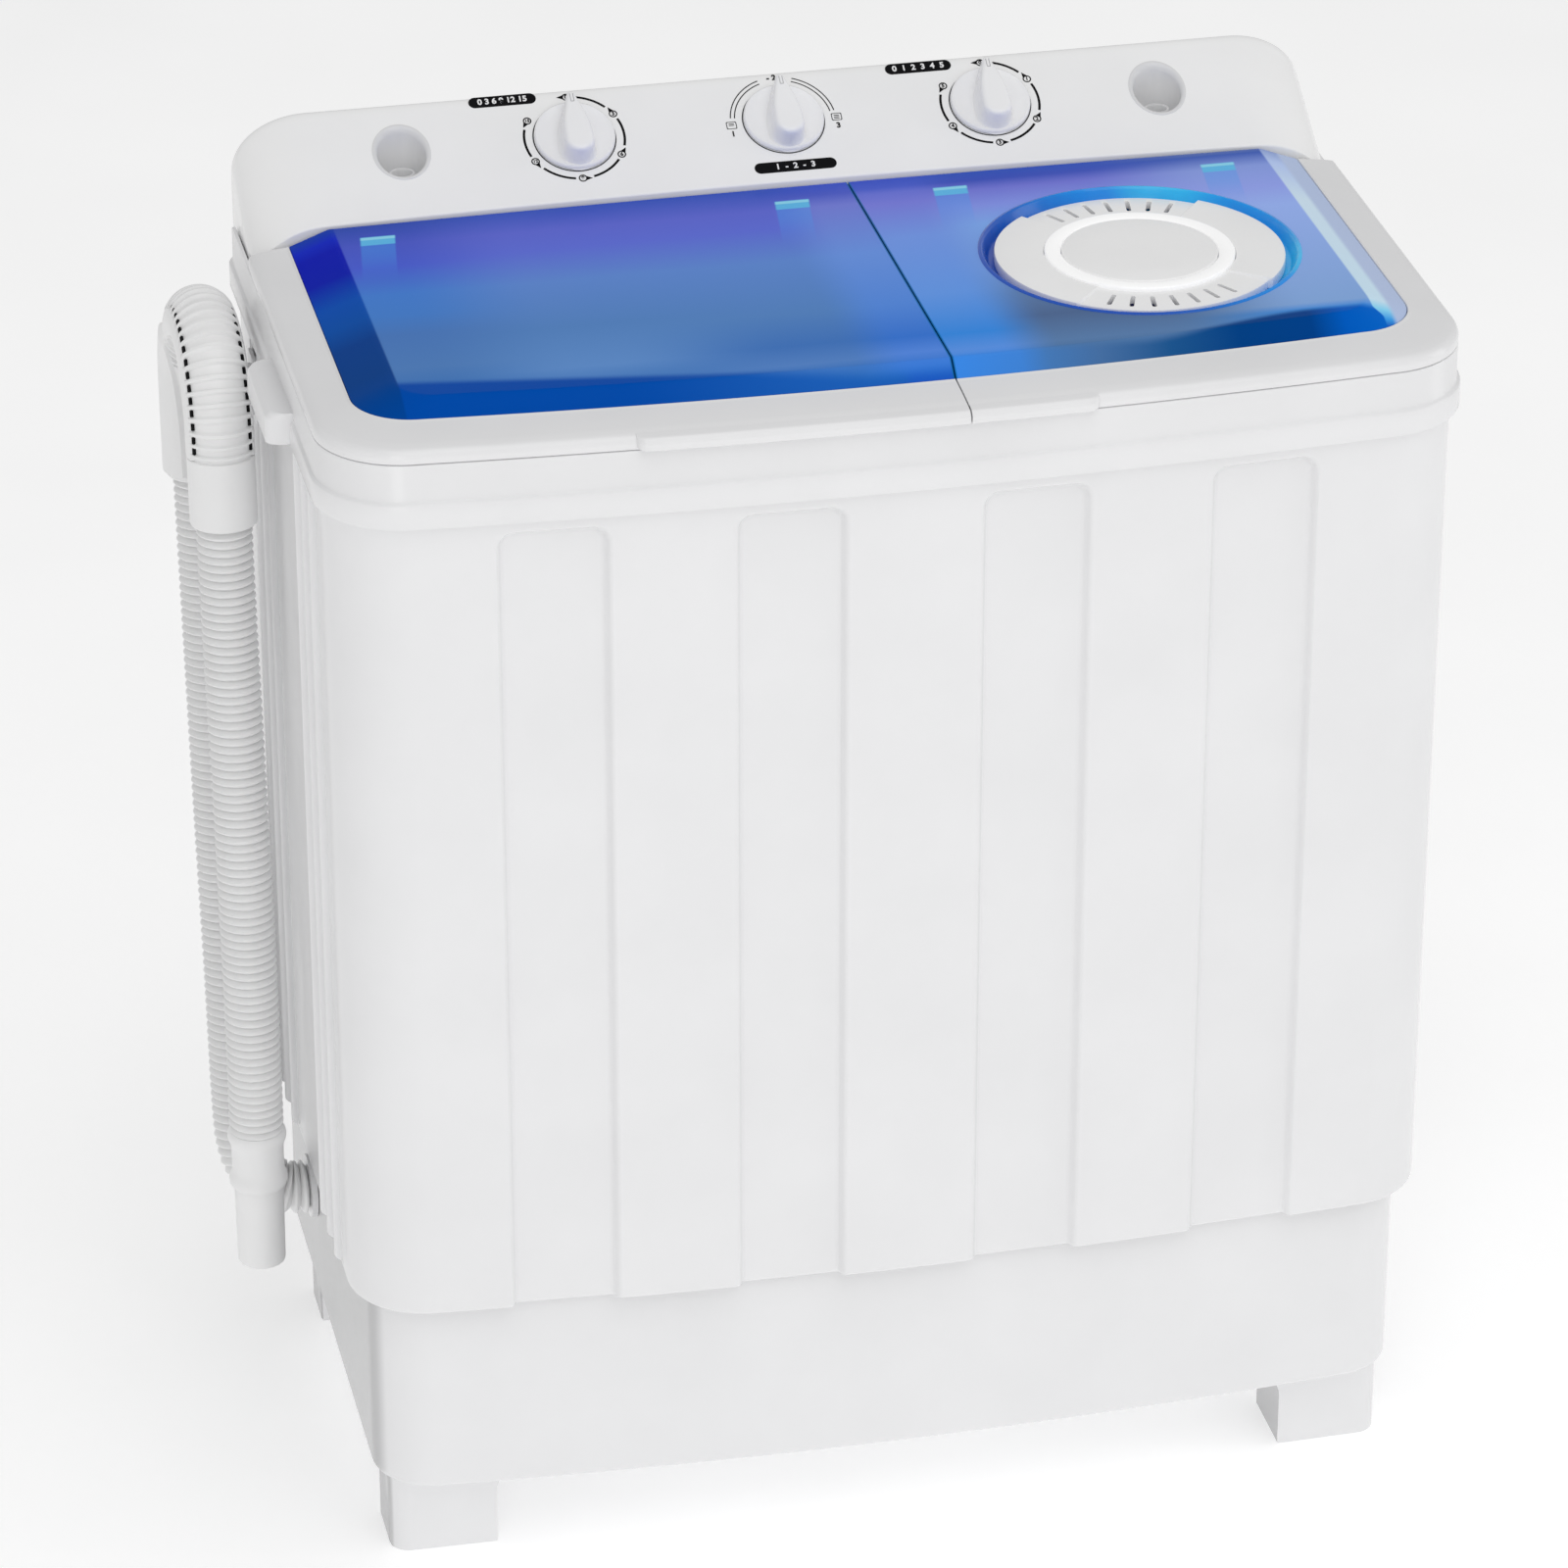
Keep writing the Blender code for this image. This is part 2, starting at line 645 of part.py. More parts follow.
def make_lip(name, ends):
    """The finger lip along the front of a lid."""
    half = CABINET_HALF_WIDTH + FRAME_OUT
    loops = []
    for i in range(5):
        x = ends[0] + (ends[1] - ends[0]) * i / 4
        y = front_bow_y(x, CABINET_FRONT_Y - FRAME_OUT, half)
        low, high = LIP_Z
        section = [(0.0015, low), (0.001 - LIP_OUT, low), (-LIP_OUT, low + 0.002)]
        section += [(-LIP_OUT, high - 0.003), (0.002 - LIP_OUT, high), (0.0015, high)]
        loops.append([(x, y + shift, z) for shift, z in section])
    return loft(name, loops, None)


def window_loops(seam_x, side, spans):
    """Outer edge and plateau edge of a window, point for point."""
    outer = lid_path(seam_x, side, WINDOW_HALF_WIDTH, WINDOW_FRONT_Y, WINDOW_CORNER_RADIUS, spans)
    top = lid_path(
        seam_x,
        side,
        WINDOW_HALF_WIDTH - BEVEL_SIDE,
        WINDOW_FRONT_Y + BEVEL_FRONT,
        WINDOW_CORNER_RADIUS - BEVEL_FRONT,
        spans,
    )
    rear = []
    count = 4
    x_far = side * (WINDOW_HALF_WIDTH - BEVEL_SIDE)
    for i in range(1, count + 1):
        x = x_far + (seam_x - x_far) * i / count
        rear.append((x, rear_bow_y(x)))
    return outer + rear, top + rear


def shrink(points, amount, seam_x, side):
    """Moves a window's loop inward at the seam, at the rear edge and, by a share of that, all round."""
    slight = 0.994
    moved = []
    for x, y in points:
        at_seam = abs(x - seam_x) < 1e-9
        new_x = seam_x + side * amount if at_seam else x * slight
        new_y = y - amount if y > LID_REAR_Y - 1e-9 else y * slight
        moved.append((new_x, new_y))
    return moved


def make_window(name, seam_x, side, spans, mats, vent=False):
    """The tinted window of a lid: a plateau with bevelled front and side, open below."""
    outer, top = window_loops(seam_x, side, spans)
    loops = [
        at_z(shrink(top, LID_SHELL, seam_x, side), PLATEAU_Z - LID_SHELL),
        at_z(shrink(outer, LID_SHELL, seam_x, side), WINDOW_EDGE_Z - LID_SHELL),
        at_z(outer, WINDOW_EDGE_Z - LID_SHELL),
        at_z(outer, WINDOW_EDGE_Z),
        at_z(top, PLATEAU_Z),
    ]
    window = loft(name, loops, mats["blue"])
    for number, x in enumerate(HINGE_XS["wash" if side < 0 else "spin"]):
        low = (x - HINGE_POST_HALF - 0.0015, HINGE_Y + 0.0020, WINDOW_EDGE_Z - 0.0060)
        high = (x + HINGE_POST_HALF + 0.0015, LID_REAR_Y + 0.0100, PLATEAU_Z - LID_SHELL - 0.0002)
        cut(window, box(f"{name}_notch_{number}", low, high, None))
    if vent:
        add_dish(window)
    return window


def add_dish(window):
    """The round dish in the spin lid's window, with a hole in its floor."""
    floor_z = PLATEAU_Z - DISH_DEPTH
    body = circle(VENT_X, VENT_Y, DISH_RADIUS + DISH_WALL, 40)
    levels = (floor_z - DISH_WALL, PLATEAU_Z - 0.0005)
    join(window, loft("dish_body", [at_z(body, z) for z in levels], None))
    hollow = ((DISH_RADIUS - 0.0040, floor_z), (DISH_RADIUS, PLATEAU_Z + 0.004))
    cut(window, loft("dish_hollow", [at_z(circle(VENT_X, VENT_Y, r, 40), z) for r, z in hollow], None))
    hole = circle(VENT_X, VENT_Y, DISH_HOLE_RADIUS, 32)
    cut(window, loft("dish_hole", [at_z(hole, z) for z in (floor_z - 0.010, floor_z + 0.002)], None))


def make_hinge(name, x, mats):
    """A hinge lug under a lid's rear edge, round about the hinge axis."""
    rows = []
    radius = HINGE_RADIUS
    arc = [math.radians(a) for a in (-60, -90, -120, -150, -180)]
    for px in (x - HINGE_HALF_WIDTH, x + HINGE_HALF_WIDTH):
        under = PLATEAU_Z - LID_SHELL - GAP
        rear = HINGE_Y + 0.0030
        row = [(px, HINGE_Y - HINGE_ARM, under), (px, rear, under), (px, rear, HINGE_Z - 0.001)]
        for a in arc:
            row.append((px, HINGE_Y + radius * math.cos(a), HINGE_Z + radius * math.sin(a)))
        row.append((px, HINGE_Y - HINGE_ARM, PLATEAU_Z - LID_SHELL - 0.004))
        rows.append(row)
    return loft(name, rows, mats["tub"])


def make_vent(mats):
    """The spin lid's air inlet: a slotted disc in the dish, a bright ring and a centre cap."""
    low = PLATEAU_Z - DISH_DEPTH + GAP
    r = VENT_DISC_RADIUS
    profile = ((r, low), (r, VENT_DISC_TOP_Z - 0.001), (r - 0.001, VENT_DISC_TOP_Z))
    disc = turned("vent_disc", profile, mats["white"], (VENT_X, VENT_Y), 36)
    near, far = VENT_SLOT_RADII
    half = VENT_SLOT_WIDTH / 2
    for first in VENT_SLOT_STARTS:
        for i in range(VENT_SLOT_COUNT):
            degrees = first + VENT_SLOT_PITCH * i
            turn = Matrix.Rotation(math.radians(degrees), 3, "Z")
            plan = ((near, -half, 0), (far, -half, 0), (far, half, 0), (near, half, 0))
            corners = [turn @ Vector(p) for p in plan]
            flat = [(VENT_X + c.x, VENT_Y + c.y) for c in corners]
            levels = (low - 0.002, VENT_DISC_TOP_Z + 0.002)
            cut(disc, loft(f"vent_slot_{first}_{i}", [at_z(flat, z) for z in levels], None))
    z = VENT_DISC_TOP_Z + GAP
    inner, outer = VENT_RING_RADII
    profile = ((inner, z), (outer, z), (outer, z + 0.002), (outer - 0.001, z + 0.003), (inner, z + 0.003))
    turned("vent_ring", profile, mats["white"], (VENT_X, VENT_Y), 32, ring=True)
    r = VENT_CAP_RADIUS
    profile = ((r, z), (r, z + 0.0025), (r - 0.002, z + 0.0038), (r * 0.5, z + 0.0045))
    turned("vent_cap", profile, mats["white"], (VENT_X, VENT_Y), 32)


def make_lids(mats):
    left_seam = SEAM_X - SEAM_GAP / 2
    right_seam = SEAM_X + SEAM_GAP / 2
    make_lid_border("wash_lid", left_seam, -1, 6, mats)
    make_window("wash_lid_window", left_seam, -1, 6, mats)
    make_lid_border("spin_lid", right_seam, 1, 5, mats)
    make_window("spin_lid_window", right_seam, 1, 5, mats, vent=True)
    for lid, xs in HINGE_XS.items():
        for x, name in zip(xs, ("left", "right")):
            make_hinge(f"{lid}_hinge_{name}", x, mats)
    make_vent(mats)


# ---------------------------------------------------------------- console


def console_point(x, s, lift=0.0):
    """A point on the console's flat face, s metres up its slope and lift metres out of it."""
    y = CONSOLE_FRONT_Y + s * math.cos(CONSOLE_SLOPE) - lift * math.sin(CONSOLE_SLOPE)
    z = PLATEAU_Z + s * math.sin(CONSOLE_SLOPE) + lift * math.cos(CONSOLE_SLOPE)
    return Vector((x, y, z))


def console_front_y(x):
    return CONSOLE_FRONT_Y + CONSOLE_BOW * (1 - (x / CONSOLE_HALF_WIDTH) ** 2)


def face_drop(x, inset):
    """How far the face has rolled down at x, near the console's ends."""
    half = CONSOLE_HALF_WIDTH - inset
    into = abs(x) - (half - CONSOLE_ROLL)
    if into <= 0:
        return 0.0
    share = min(into / CONSOLE_ROLL, 1.0)
    return CONSOLE_DROP * (1 - math.sqrt(max(0.0, 1 - share**2)))


def console_sections(inset, bottom):
    half = CONSOLE_HALF_WIDTH - inset
    edge = half - CONSOLE_ROLL
    shares = (0.0, 0.40, 0.66, 0.84, 0.95, 1.0)
    right = [edge + CONSOLE_ROLL * share for share in shares]
    xs = [-x for x in reversed(right)] + [-0.15, 0.0, 0.15] + right
    rows = []
    for x in xs:
        front = console_front_y(x) + inset
        rear = CONSOLE_REAR_Y - inset
        drop = face_drop(x, inset) + inset * 1.15
        rise = math.tan(CONSOLE_SLOPE)
        face = [PLATEAU_Z + (y - CONSOLE_FRONT_Y) * rise - drop for y in (front, rear - 0.005)]
        low = max(face[0], bottom + 0.0015 - min(inset, 0.001))
        rows.append(
            [
                (x, front, bottom),
                (x, front, low),
                (x, rear - 0.005, max(face[1], low + 0.001)),
                (x, rear - 0.001, max(face[1], low + 0.001) + 0.0002),
                (x, rear, max(face[1], low + 0.001) - 0.003),
                (x, rear, bottom),
            ]
        )
    return rows


def make_console(mats):
    shell = loft("console_shell", console_sections(0.0, CONSOLE_BOTTOM_Z + GAP), mats["console"])
    cut(shell, loft("console_hollow", console_sections(CONSOLE_SHELL, CONSOLE_BOTTOM_Z - 0.004), None))
    for name, x in KNOB_XS.items():
        low, high = console_point(x, CONTROL_S, -0.015), console_point(x, CONTROL_S, 0.010)
        cut(shell, cylinder_between(f"{name}_hole", low, high, STEM_RADIUS + 0.001, None, 16))
    for name, x in (("left", -INLET_X), ("right", INLET_X)):
        centre = console_point(x, CONTROL_S)
        hole = circle(x, centre.y, INLET_RADIUS + 0.0005, 24)
        levels = (centre.z - 0.030, centre.z + 0.020)
        cut(shell, loft(f"inlet_{name}_hole", [at_z(hole, z) for z in levels], None))


def slope_frame(x, s, lift=0.0):
    """A frame on the console's face: its Z is square to the face, its Y runs up the slope."""
    turn = Matrix.Rotation(CONSOLE_SLOPE, 4, "X")
    return Matrix.Translation(console_point(x, s, lift)) @ turn


def on_slope(outline, lift):
    """An outline laid on the console's face: each point is raised to the face, plus a lift straight up."""
    rise = math.tan(CONSOLE_SLOPE)
    return [(x, y, PLATEAU_Z + (y - CONSOLE_FRONT_Y) * rise + lift) for x, y in outline]


def make_inlet(name, x, mats):
    """A water inlet: an upright cup let into the sloping console, with a spigot in its floor."""
    centre = console_point(x, CONTROL_S)
    floor_z = centre.z - INLET_FLOOR_DROP
    r = INLET_RADIUS
    lip = 0.0014
    wide = circle(x, centre.y, r + INLET_RIM, 24)
    middle = circle(x, centre.y, r, 24)
    narrow = circle(x, centre.y, r - 0.002, 24)
    loops = [at_z(narrow, floor_z), on_slope(narrow, lip), on_slope(wide, lip), on_slope(wide, GAP)]
    loops += [on_slope(middle, GAP), at_z(middle, floor_z - 0.002)]
    cup = loft(name, loops, mats["console"])
    spot = (x, centre.y)
    reach = SPIGOT_REACH
    profile = ((SPIGOT_RADIUS, floor_z - reach), (SPIGOT_RADIUS, floor_z + reach))
    spigot = turned(f"{name}_spigot", profile, None, spot, 16)
    profile = ((SPIGOT_BORE, floor_z - 1.5 * reach), (SPIGOT_BORE, floor_z + 1.5 * reach))
    bore = turned(f"{name}_bore", profile, None, spot, 12)
    join(cup, spigot)
    cut(cup, bore)


def drop_side(t):
    """The half width and the height of a grip's flank, t of the way from its tail to its nose."""
    half = DROP_HALF_WIDTH * (1 - t) + DROP_NOSE_HALF * t + DROP_SWELL * math.sin(math.pi * t)
    return half, DROP_TAIL_Y + (DROP_NOSE_Y - DROP_TAIL_Y) * t


def drop_outline():
    """The plan of a knob's grip: a round end below and a narrow nose above."""
    points = []
    for i in range(9):
        a = math.radians(180 + 22.5 * i)
        points.append((DROP_HALF_WIDTH * math.cos(a), DROP_TAIL_Y - DROP_TAIL_Y * math.sin(a)))
    for i in range(1, 4):
        half, y = drop_side(i / 4)
        points.append((half, y))
    for i in range(5):
        a = math.radians(45.0 * i)
        points.append((DROP_NOSE_HALF * math.cos(a), DROP_NOSE_Y + 0.0012 * math.sin(a)))
    for i in range(3, 0, -1):
        half, y = drop_side(i / 4)
        points.append((-half, y))
    return points


def make_knob(name, x, mats):
    """A control knob: its stem, a round base and a drop-shaped grip that points up the slope."""
    r = KNOB_RADIUS
    profile = [
        (STEM_RADIUS, -STEM_LENGTH),
        (STEM_RADIUS, 0.0006),
        (r, 0.0006),
        (r, 0.0025),
        (r - 0.0025, KNOB_BASE_HEIGHT),
    ]
    knob = turned(name, profile, mats["console"], count=24)
    outline = drop_outline()
    loops = []
    for z, scale in ((0.0030, 1.0), (GRIP_HEIGHT - 0.003, 0.93), (GRIP_HEIGHT, 0.80)):
        loops.append([(px * scale, -0.001 + (py + 0.001) * (0.5 + scale / 2), z) for px, py in outline])
    grip = loft(f"{name}_grip", loops, None)
    frame = slope_frame(x, CONTROL_S)
    knob.matrix_world = frame
    grip.matrix_world = frame
    join(knob, grip)


def make_controls(mats):
    for name, x in KNOB_XS.items():
        make_knob(f"{name}_knob", x, mats)
        body = turned(
            name if name != "wash_selector" else "wash_selector_switch",
            (
                (SWITCH_RADIUS, -SWITCH_DEPTH),
                (SWITCH_RADIUS, -STEM_LENGTH - 0.0010),
                (SWITCH_RADIUS - 0.0100, -STEM_LENGTH - 0.0004),
            ),
            mats["grey"],
            count=16,
        )
        body.matrix_world = slope_frame(x, CONTROL_S)
    make_inlet("water_inlet_left", -INLET_X, mats)
    make_inlet("water_inlet_right", INLET_X, mats)


# ---------------------------------------------------------------- tubs


def make_wash_tub(mats):
    def plan(grow, taper):
        half_x = WASH_HALF[0] + grow - taper
        half_y = WASH_HALF[1] + grow - taper
        return rounded_rect(WASH_X, WASH_Y, half_x, half_y, WASH_CORNER + grow, 5)

    top = DECK_Z - DECK_THICKNESS - GAP
    loops = [
        at_z(plan(-TUB_WALL, TUB_LEDGE), WASH_FLOOR_Z),
        at_z(plan(-TUB_WALL, 0.0), top),
        at_z(plan(TUB_RIM, 0.0), top),
        at_z(plan(TUB_RIM, 0.0), top - TUB_RIM),
        at_z(plan(0.0, 0.0), top - TUB_RIM),
        at_z(plan(0.0, TUB_LEDGE), WASH_FLOOR_Z - TUB_WALL),
    ]
    tub = loft("wash_tub", loops, mats["tub"])
    hole = circle(WASH_X, WASH_Y, HOUSING_BORE + 0.0020, 16)
    levels = (WASH_FLOOR_Z - 0.030, WASH_FLOOR_Z + 0.010)
    cut(tub, loft("pulsator_hole", [at_z(hole, z) for z in levels], None))


def make_shaft_housing(mats):
    top = WASH_FLOOR_Z - TUB_WALL
    flange, barrel = 0.050, 0.022
    profile = [
        (HOUSING_BORE, HOUSING_BOTTOM_Z),
        (HOUSING_BORE, top - GAP),
        (flange, top - GAP),
        (flange, top - 0.008),
        (barrel, top - 0.016),
        (barrel, HOUSING_BOTTOM_Z),
    ]
    turned("shaft_housing", profile, mats["motor"], (WASH_X, WASH_Y), 20, ring=True)


def make_pulsator(mats):
    z = WASH_FLOOR_Z + 0.003
    r = PULSATOR_RADIUS
    profile = [(r, z), (r, z + 0.004), (r * 0.7, z + 0.012)]
    profile += [(0.035, z + 0.020), (0.028, z + 0.034), (0.012, z + 0.038)]
    pulsator = turned("pulsator", profile, mats["blue"], (WASH_X, WASH_Y), 24)
    for i in range(PULSATOR_FIN_COUNT):
        turn = Matrix.Rotation(2 * math.pi * i / PULSATOR_FIN_COUNT, 3, "Z")
        rows = []
        for d, half, height in ((0.020, 0.006, 0.036), (0.060, 0.009, 0.034), (0.108, 0.004, 0.014)):
            row = []
            for share, rise in ((-1.0, 0.002), (-0.5, height), (0.5, height), (1.0, 0.002)):
                spot = turn @ Vector((d, share * half, 0))
                row.append((WASH_X + spot.x, WASH_Y + spot.y, z + rise))
            rows.append(row)
        join(pulsator, loft(f"pulsator_fin_{i}", rows, None))
    profile = ((SHAFT_RADIUS, PULLEY_Z - 0.014), (SHAFT_RADIUS, z - GAP))
    turned("pulsator_shaft", profile, mats["steel"], (WASH_X, WASH_Y), 16)


def pulley_profile(radius, bore):
    low, high = PULLEY_Z - PULLEY_HALF_WIDTH, PULLEY_Z + PULLEY_HALF_WIDTH
    groove = radius - PULLEY_GROOVE
    return [
        (bore, low),
        (radius, low),
        (groove, low + 0.005),
        (groove, high - 0.005),
        (radius, high),
        (bore, high),
    ]


def make_drive(mats):
    profile = pulley_profile(LARGE_PULLEY_RADIUS, SHAFT_RADIUS + GAP)
    turned("large_pulley", profile, mats["grey"], (WASH_X, WASH_Y), 24, ring=True)
    motor_spot = (WASH_MOTOR_X, WASH_MOTOR_Y)
    low, high = WASH_MOTOR_Z
    profile = pulley_profile(MOTOR_PULLEY_RADIUS, MOTOR_SHAFT_RADIUS)
    profile += [(MOTOR_SHAFT_RADIUS, PULLEY_Z + 0.010), (MOTOR_SHAFT_RADIUS, low - GAP)]
    turned("motor_pulley", profile, mats["steel"], motor_spot, 20)
    r = WASH_MOTOR_RADIUS
    profile = [(0.030, low), (r, low + 0.006), (r, high - 0.007), (0.030, high)]
    turned("wash_motor", profile, mats["motor"], motor_spot, 20)
    make_belt(mats)


def make_belt(mats):
    """The drive belt round both pulleys."""
    start = Vector((WASH_X, WASH_Y))
    end = Vector((WASH_MOTOR_X, WASH_MOTOR_Y))
    span = end - start
    heading = math.atan2(span.y, span.x)

    def path(extra):
        big = LARGE_PULLEY_RADIUS - PULLEY_GROOVE + GAP + extra
        small = MOTOR_PULLEY_RADIUS - PULLEY_GROOVE + GAP + extra
        lean = math.acos((big - small) / span.length)
        points = []
        for i in range(13):
            a = heading + lean + (2 * math.pi - 2 * lean) * i / 12
            points.append((start.x + big * math.cos(a), start.y + big * math.sin(a)))
        for i in range(7):
            a = heading - lean + 2 * lean * i / 6
            points.append((end.x + small * math.cos(a), end.y + small * math.sin(a)))
        return points

    low, high = PULLEY_Z - BELT_HALF_WIDTH, PULLEY_Z + BELT_HALF_WIDTH
    inner, outer = path(0.0012), path(0.0060)
    loops = [at_z(inner, low), at_z(outer, low), at_z(outer, high), at_z(inner, high)]
    loft("drive_belt", loops, mats["dark"], ring=True)


def make_spin_tub(mats):
    top = DECK_Z - DECK_THICKNESS - GAP
    r = SPIN_OUTER_RADIUS
    profile = [
        (r - TUB_WALL - 0.006, SPIN_FLOOR_Z),
        (r - TUB_WALL, top),
        (r + 0.003, top),
        (r + 0.003, top - TUB_RIM),
        (r, top - TUB_RIM),
        (r - 0.006, SPIN_FLOOR_Z - TUB_WALL),
    ]
    tub = turned("spin_tub", profile, mats["tub"], (SPIN_X, SPIN_Y), 28)
    hole = circle(SPIN_X, SPIN_Y, 0.0115, 16)
    levels = (SPIN_FLOOR_Z - 0.020, SPIN_FLOOR_Z + 0.020)
    cut(tub, loft("spin_shaft_hole", [at_z(hole, z) for z in levels], None))


def make_spin_basket(mats):
    low, high = BASKET_Z
    r = BASKET_RADIUS
    wall = 0.002
    profile = [
        (r - wall, low + 0.003),
        (r - wall, high - 0.004),
        (r - 0.010, high - 0.002),
        (r - 0.010, high),
        (r, high),
        (r, low + 0.002),
        (r - 0.004, low),
    ]
    basket = turned("spin_basket", profile, mats["steel"], (SPIN_X, SPIN_Y), 28)
    for level in range(2):
        for i in range(8):
            a = 2 * math.pi * (i + 0.5 * level) / 8
            z = low + 0.12 + 0.15 * level
            ends = []
            for reach in (r - 0.010, r + 0.006):
                ends.append((SPIN_X + reach * math.cos(a), SPIN_Y + reach * math.sin(a), z))
            cut(basket, cylinder_between(f"basket_hole_{level}_{i}", *ends, 0.005, None, 6))
    shaft = [(0.008, SPIN_MOTOR_Z[1] + GAP), (0.008, 0.330), (0.030, 0.336), (0.030, low - GAP)]
    turned("spin_shaft", shaft, mats["steel"], (SPIN_X, SPIN_Y), 16)
    bore, r = 0.0084, DRUM_RADIUS
    low, high = DRUM_Z
    drum = [(bore, low), (r, low), (r, high), (bore, high)]
    turned("brake_drum", drum, mats["steel"], (SPIN_X, SPIN_Y), 24, ring=True)


def make_spin_motor(mats):
    low, high = SPIN_MOTOR_Z
    r = 0.056
    flange = SPIN_MOTOR_FLANGE_RADIUS
    profile = [(0.036, low), (r, low + 0.006), (r, high - 0.016), (flange, high - 0.016)]
    profile += [(flange, high - 0.011), (0.034, high - 0.011), (0.030, high)]
    turned("spin_motor", profile, mats["motor"], (SPIN_X, SPIN_Y), 24)
    for i in range(3):
        a = math.radians(90 + 120 * i)
        spot = (SPIN_X + MOUNT_CIRCLE * math.cos(a), SPIN_Y + MOUNT_CIRCLE * math.sin(a))
        low_z = FOOT_HEIGHT + BASE_FLOOR + GAP
        high_z = SPIN_MOTOR_Z[1] - 0.016 - GAP
        waist, wide = MOUNT_RADII
        rings = [(wide, low_z)]
        count = 3
        for k in range(count):
            z0 = low_z + (high_z - low_z) * (k + 0.25) / count
            z1 = low_z + (high_z - low_z) * (k + 0.75) / count
            rings += [(wide, z0), (waist, (z0 + z1) / 2), (wide, z1)]
        rings.append((wide, high_z))
        turned(f"motor_mount_{i + 1}", rings, mats["dark"], spot, 10)


def make_brake_lever(mats):
    """The brake lever: a curved shoe beside the drum on an arm that turns with an upright pin."""
    pivot = Vector((SPIN_X + BRAKE_PIVOT[0], SPIN_Y + BRAKE_PIVOT[1]))
    lower, upper = BRAKE_LEVER_Z
    near, far = BRAKE_SHOE_RADII
    outer = []
    inner = []
    for i in range(7):
        a = math.radians(-58 + 52 * i / 6)
        outer.append((SPIN_X + far * math.cos(a), SPIN_Y + far * math.sin(a)))
        inner.append((SPIN_X + near * math.cos(a), SPIN_Y + near * math.sin(a)))
    plan = outer + inner[::-1]
    lever = loft("brake_lever", [at_z(plan, lower), at_z(plan, upper)], mats["steel"])
    half = 0.0035
    x_arm = SPIN_X + 0.0590
    arm = [(x_arm - half, SPIN_Y - 0.012), (x_arm + half, SPIN_Y - 0.012)]
    arm += [(pivot.x + half, pivot.y), (pivot.x - half, pivot.y)]
    join(lever, loft("brake_arm", [at_z(arm, lower + 0.002), at_z(arm, upper - 0.002)], None))
    pin_top = SPIN_FLOOR_Z - TUB_WALL - GAP
    join(lever, loft("brake_boss", [at_z(circle(*pivot, 0.0085, 16), z) for z in (lower, upper)], None))
    join(lever, loft("brake_pin", [at_z(circle(*pivot, 0.0040, 12), z) for z in (0.235, pin_top)], None))


# ---------------------------------------------------------------- water and drain


def make_lint_filter(mats):
    """The lint filter in its channel on the wash tub's right wall, and the channel itself."""
    x_wall = WASH_X + WASH_HALF[0] - TUB_WALL - 0.0130
    low, high = FILTER_Z
    y0, y1 = WASH_Y - FILTER_HALF_WIDTH, WASH_Y + FILTER_HALF_WIDTH
    bay = FILTER_BAY
    channel = box("filter_channel", (x_wall - 0.016, y0, low), (x_wall, y1, high), mats["tub"])
    start = (x_wall - 0.0135, y0 + 0.003, low + 0.003)
    cut(channel, box("channel_hollow", start, (x_wall - 0.0025, y1 - 0.003, high + 0.010), None))
    start = (x_wall - 0.020, y0 + bay, low + 0.060)
    cut(channel, box("channel_window", start, (x_wall - 0.010, y1 - bay, high - 0.060), None))
    start = (x_wall - 0.0130, y0 + 0.0035, low + 0.010)
    body = box("lint_filter", start, (x_wall - 0.0030, y1 - 0.0035, high + 0.004), mats["blue"])
    start = (x_wall - 0.020, y0 + bay, low + 0.050)
    cut(body, box("filter_mesh_bay", start, (x_wall - 0.006, y1 - bay, high - 0.060), None))


def make_drain(mats):
    """The drain valve under the tubs, its plunger, and the pipes from both tubs and to the hose outlet."""
    x, y = VALVE_XY
    r = VALVE_RADIUS
    profile = ((r, 0.205), (r, 0.262), (r - 0.008, 0.268))
    valve = turned("drain_valve", profile, mats["grey"], (x, y), 20)
    cut(valve, loft("valve_bore", [at_z(circle(x, y, VALVE_BORE, 16), z) for z in (0.237, 0.280)], None))
    plunger = ((0.0078, 0.240), (0.0078, 0.330), (0.0110, 0.331), (0.0110, 0.337))
    turned("valve_plunger", plunger, mats["steel"], (x, y), 16)
    make_pipe("drain_pipe", valve, Vector((x - 0.029, y, 0.218)), DRAIN_ROUTE, mats)
    make_pipe("wash_drain_pipe", valve, Vector((x - 0.029, y, 0.248)), WASH_DRAIN_ROUTE, mats)
    make_pipe("spin_drain_pipe", valve, Vector((x + 0.029, y, 0.248)), SPIN_DRAIN_ROUTE, mats)


def make_pipe(name, valve, port, route, mats):
    """A rubber pipe from a port on the valve's side to its route's last point, which it meets head on."""
    centre = Vector((*VALVE_XY, port.z))
    heading = (port - centre).normalized()
    inside = centre + heading * 0.014
    join(valve, cylinder_between(f"{name}_port", inside, port, PIPE_RADIUS - 0.001, None, 16))
    middle = smooth_route(route[:-1], 0.022)
    last = Vector(route[-1])
    points = [port + heading * GAP, port + heading * 0.006] + middle + [last]
    tube_curve(name, points, PIPE_RADIUS, mats["dark"])


def make_outlet(mats):
    """The hose connector on the base's left side: a flange inside and a spigot outside."""
    x, y, z = OUTLET
    ends = ((x - 0.0046, y, z), (x + 0.036, y, z))
    outlet = cylinder_between("hose_outlet", *ends, OUTLET_RADIUS, mats["grey"], 24)
    ends = ((x - 0.0044, y, z), (x - GAP, y, z))
    flange = cylinder_between("outlet_flange", *ends, OUTLET_RADIUS + 0.0075, None, 24)
    join(outlet, flange)


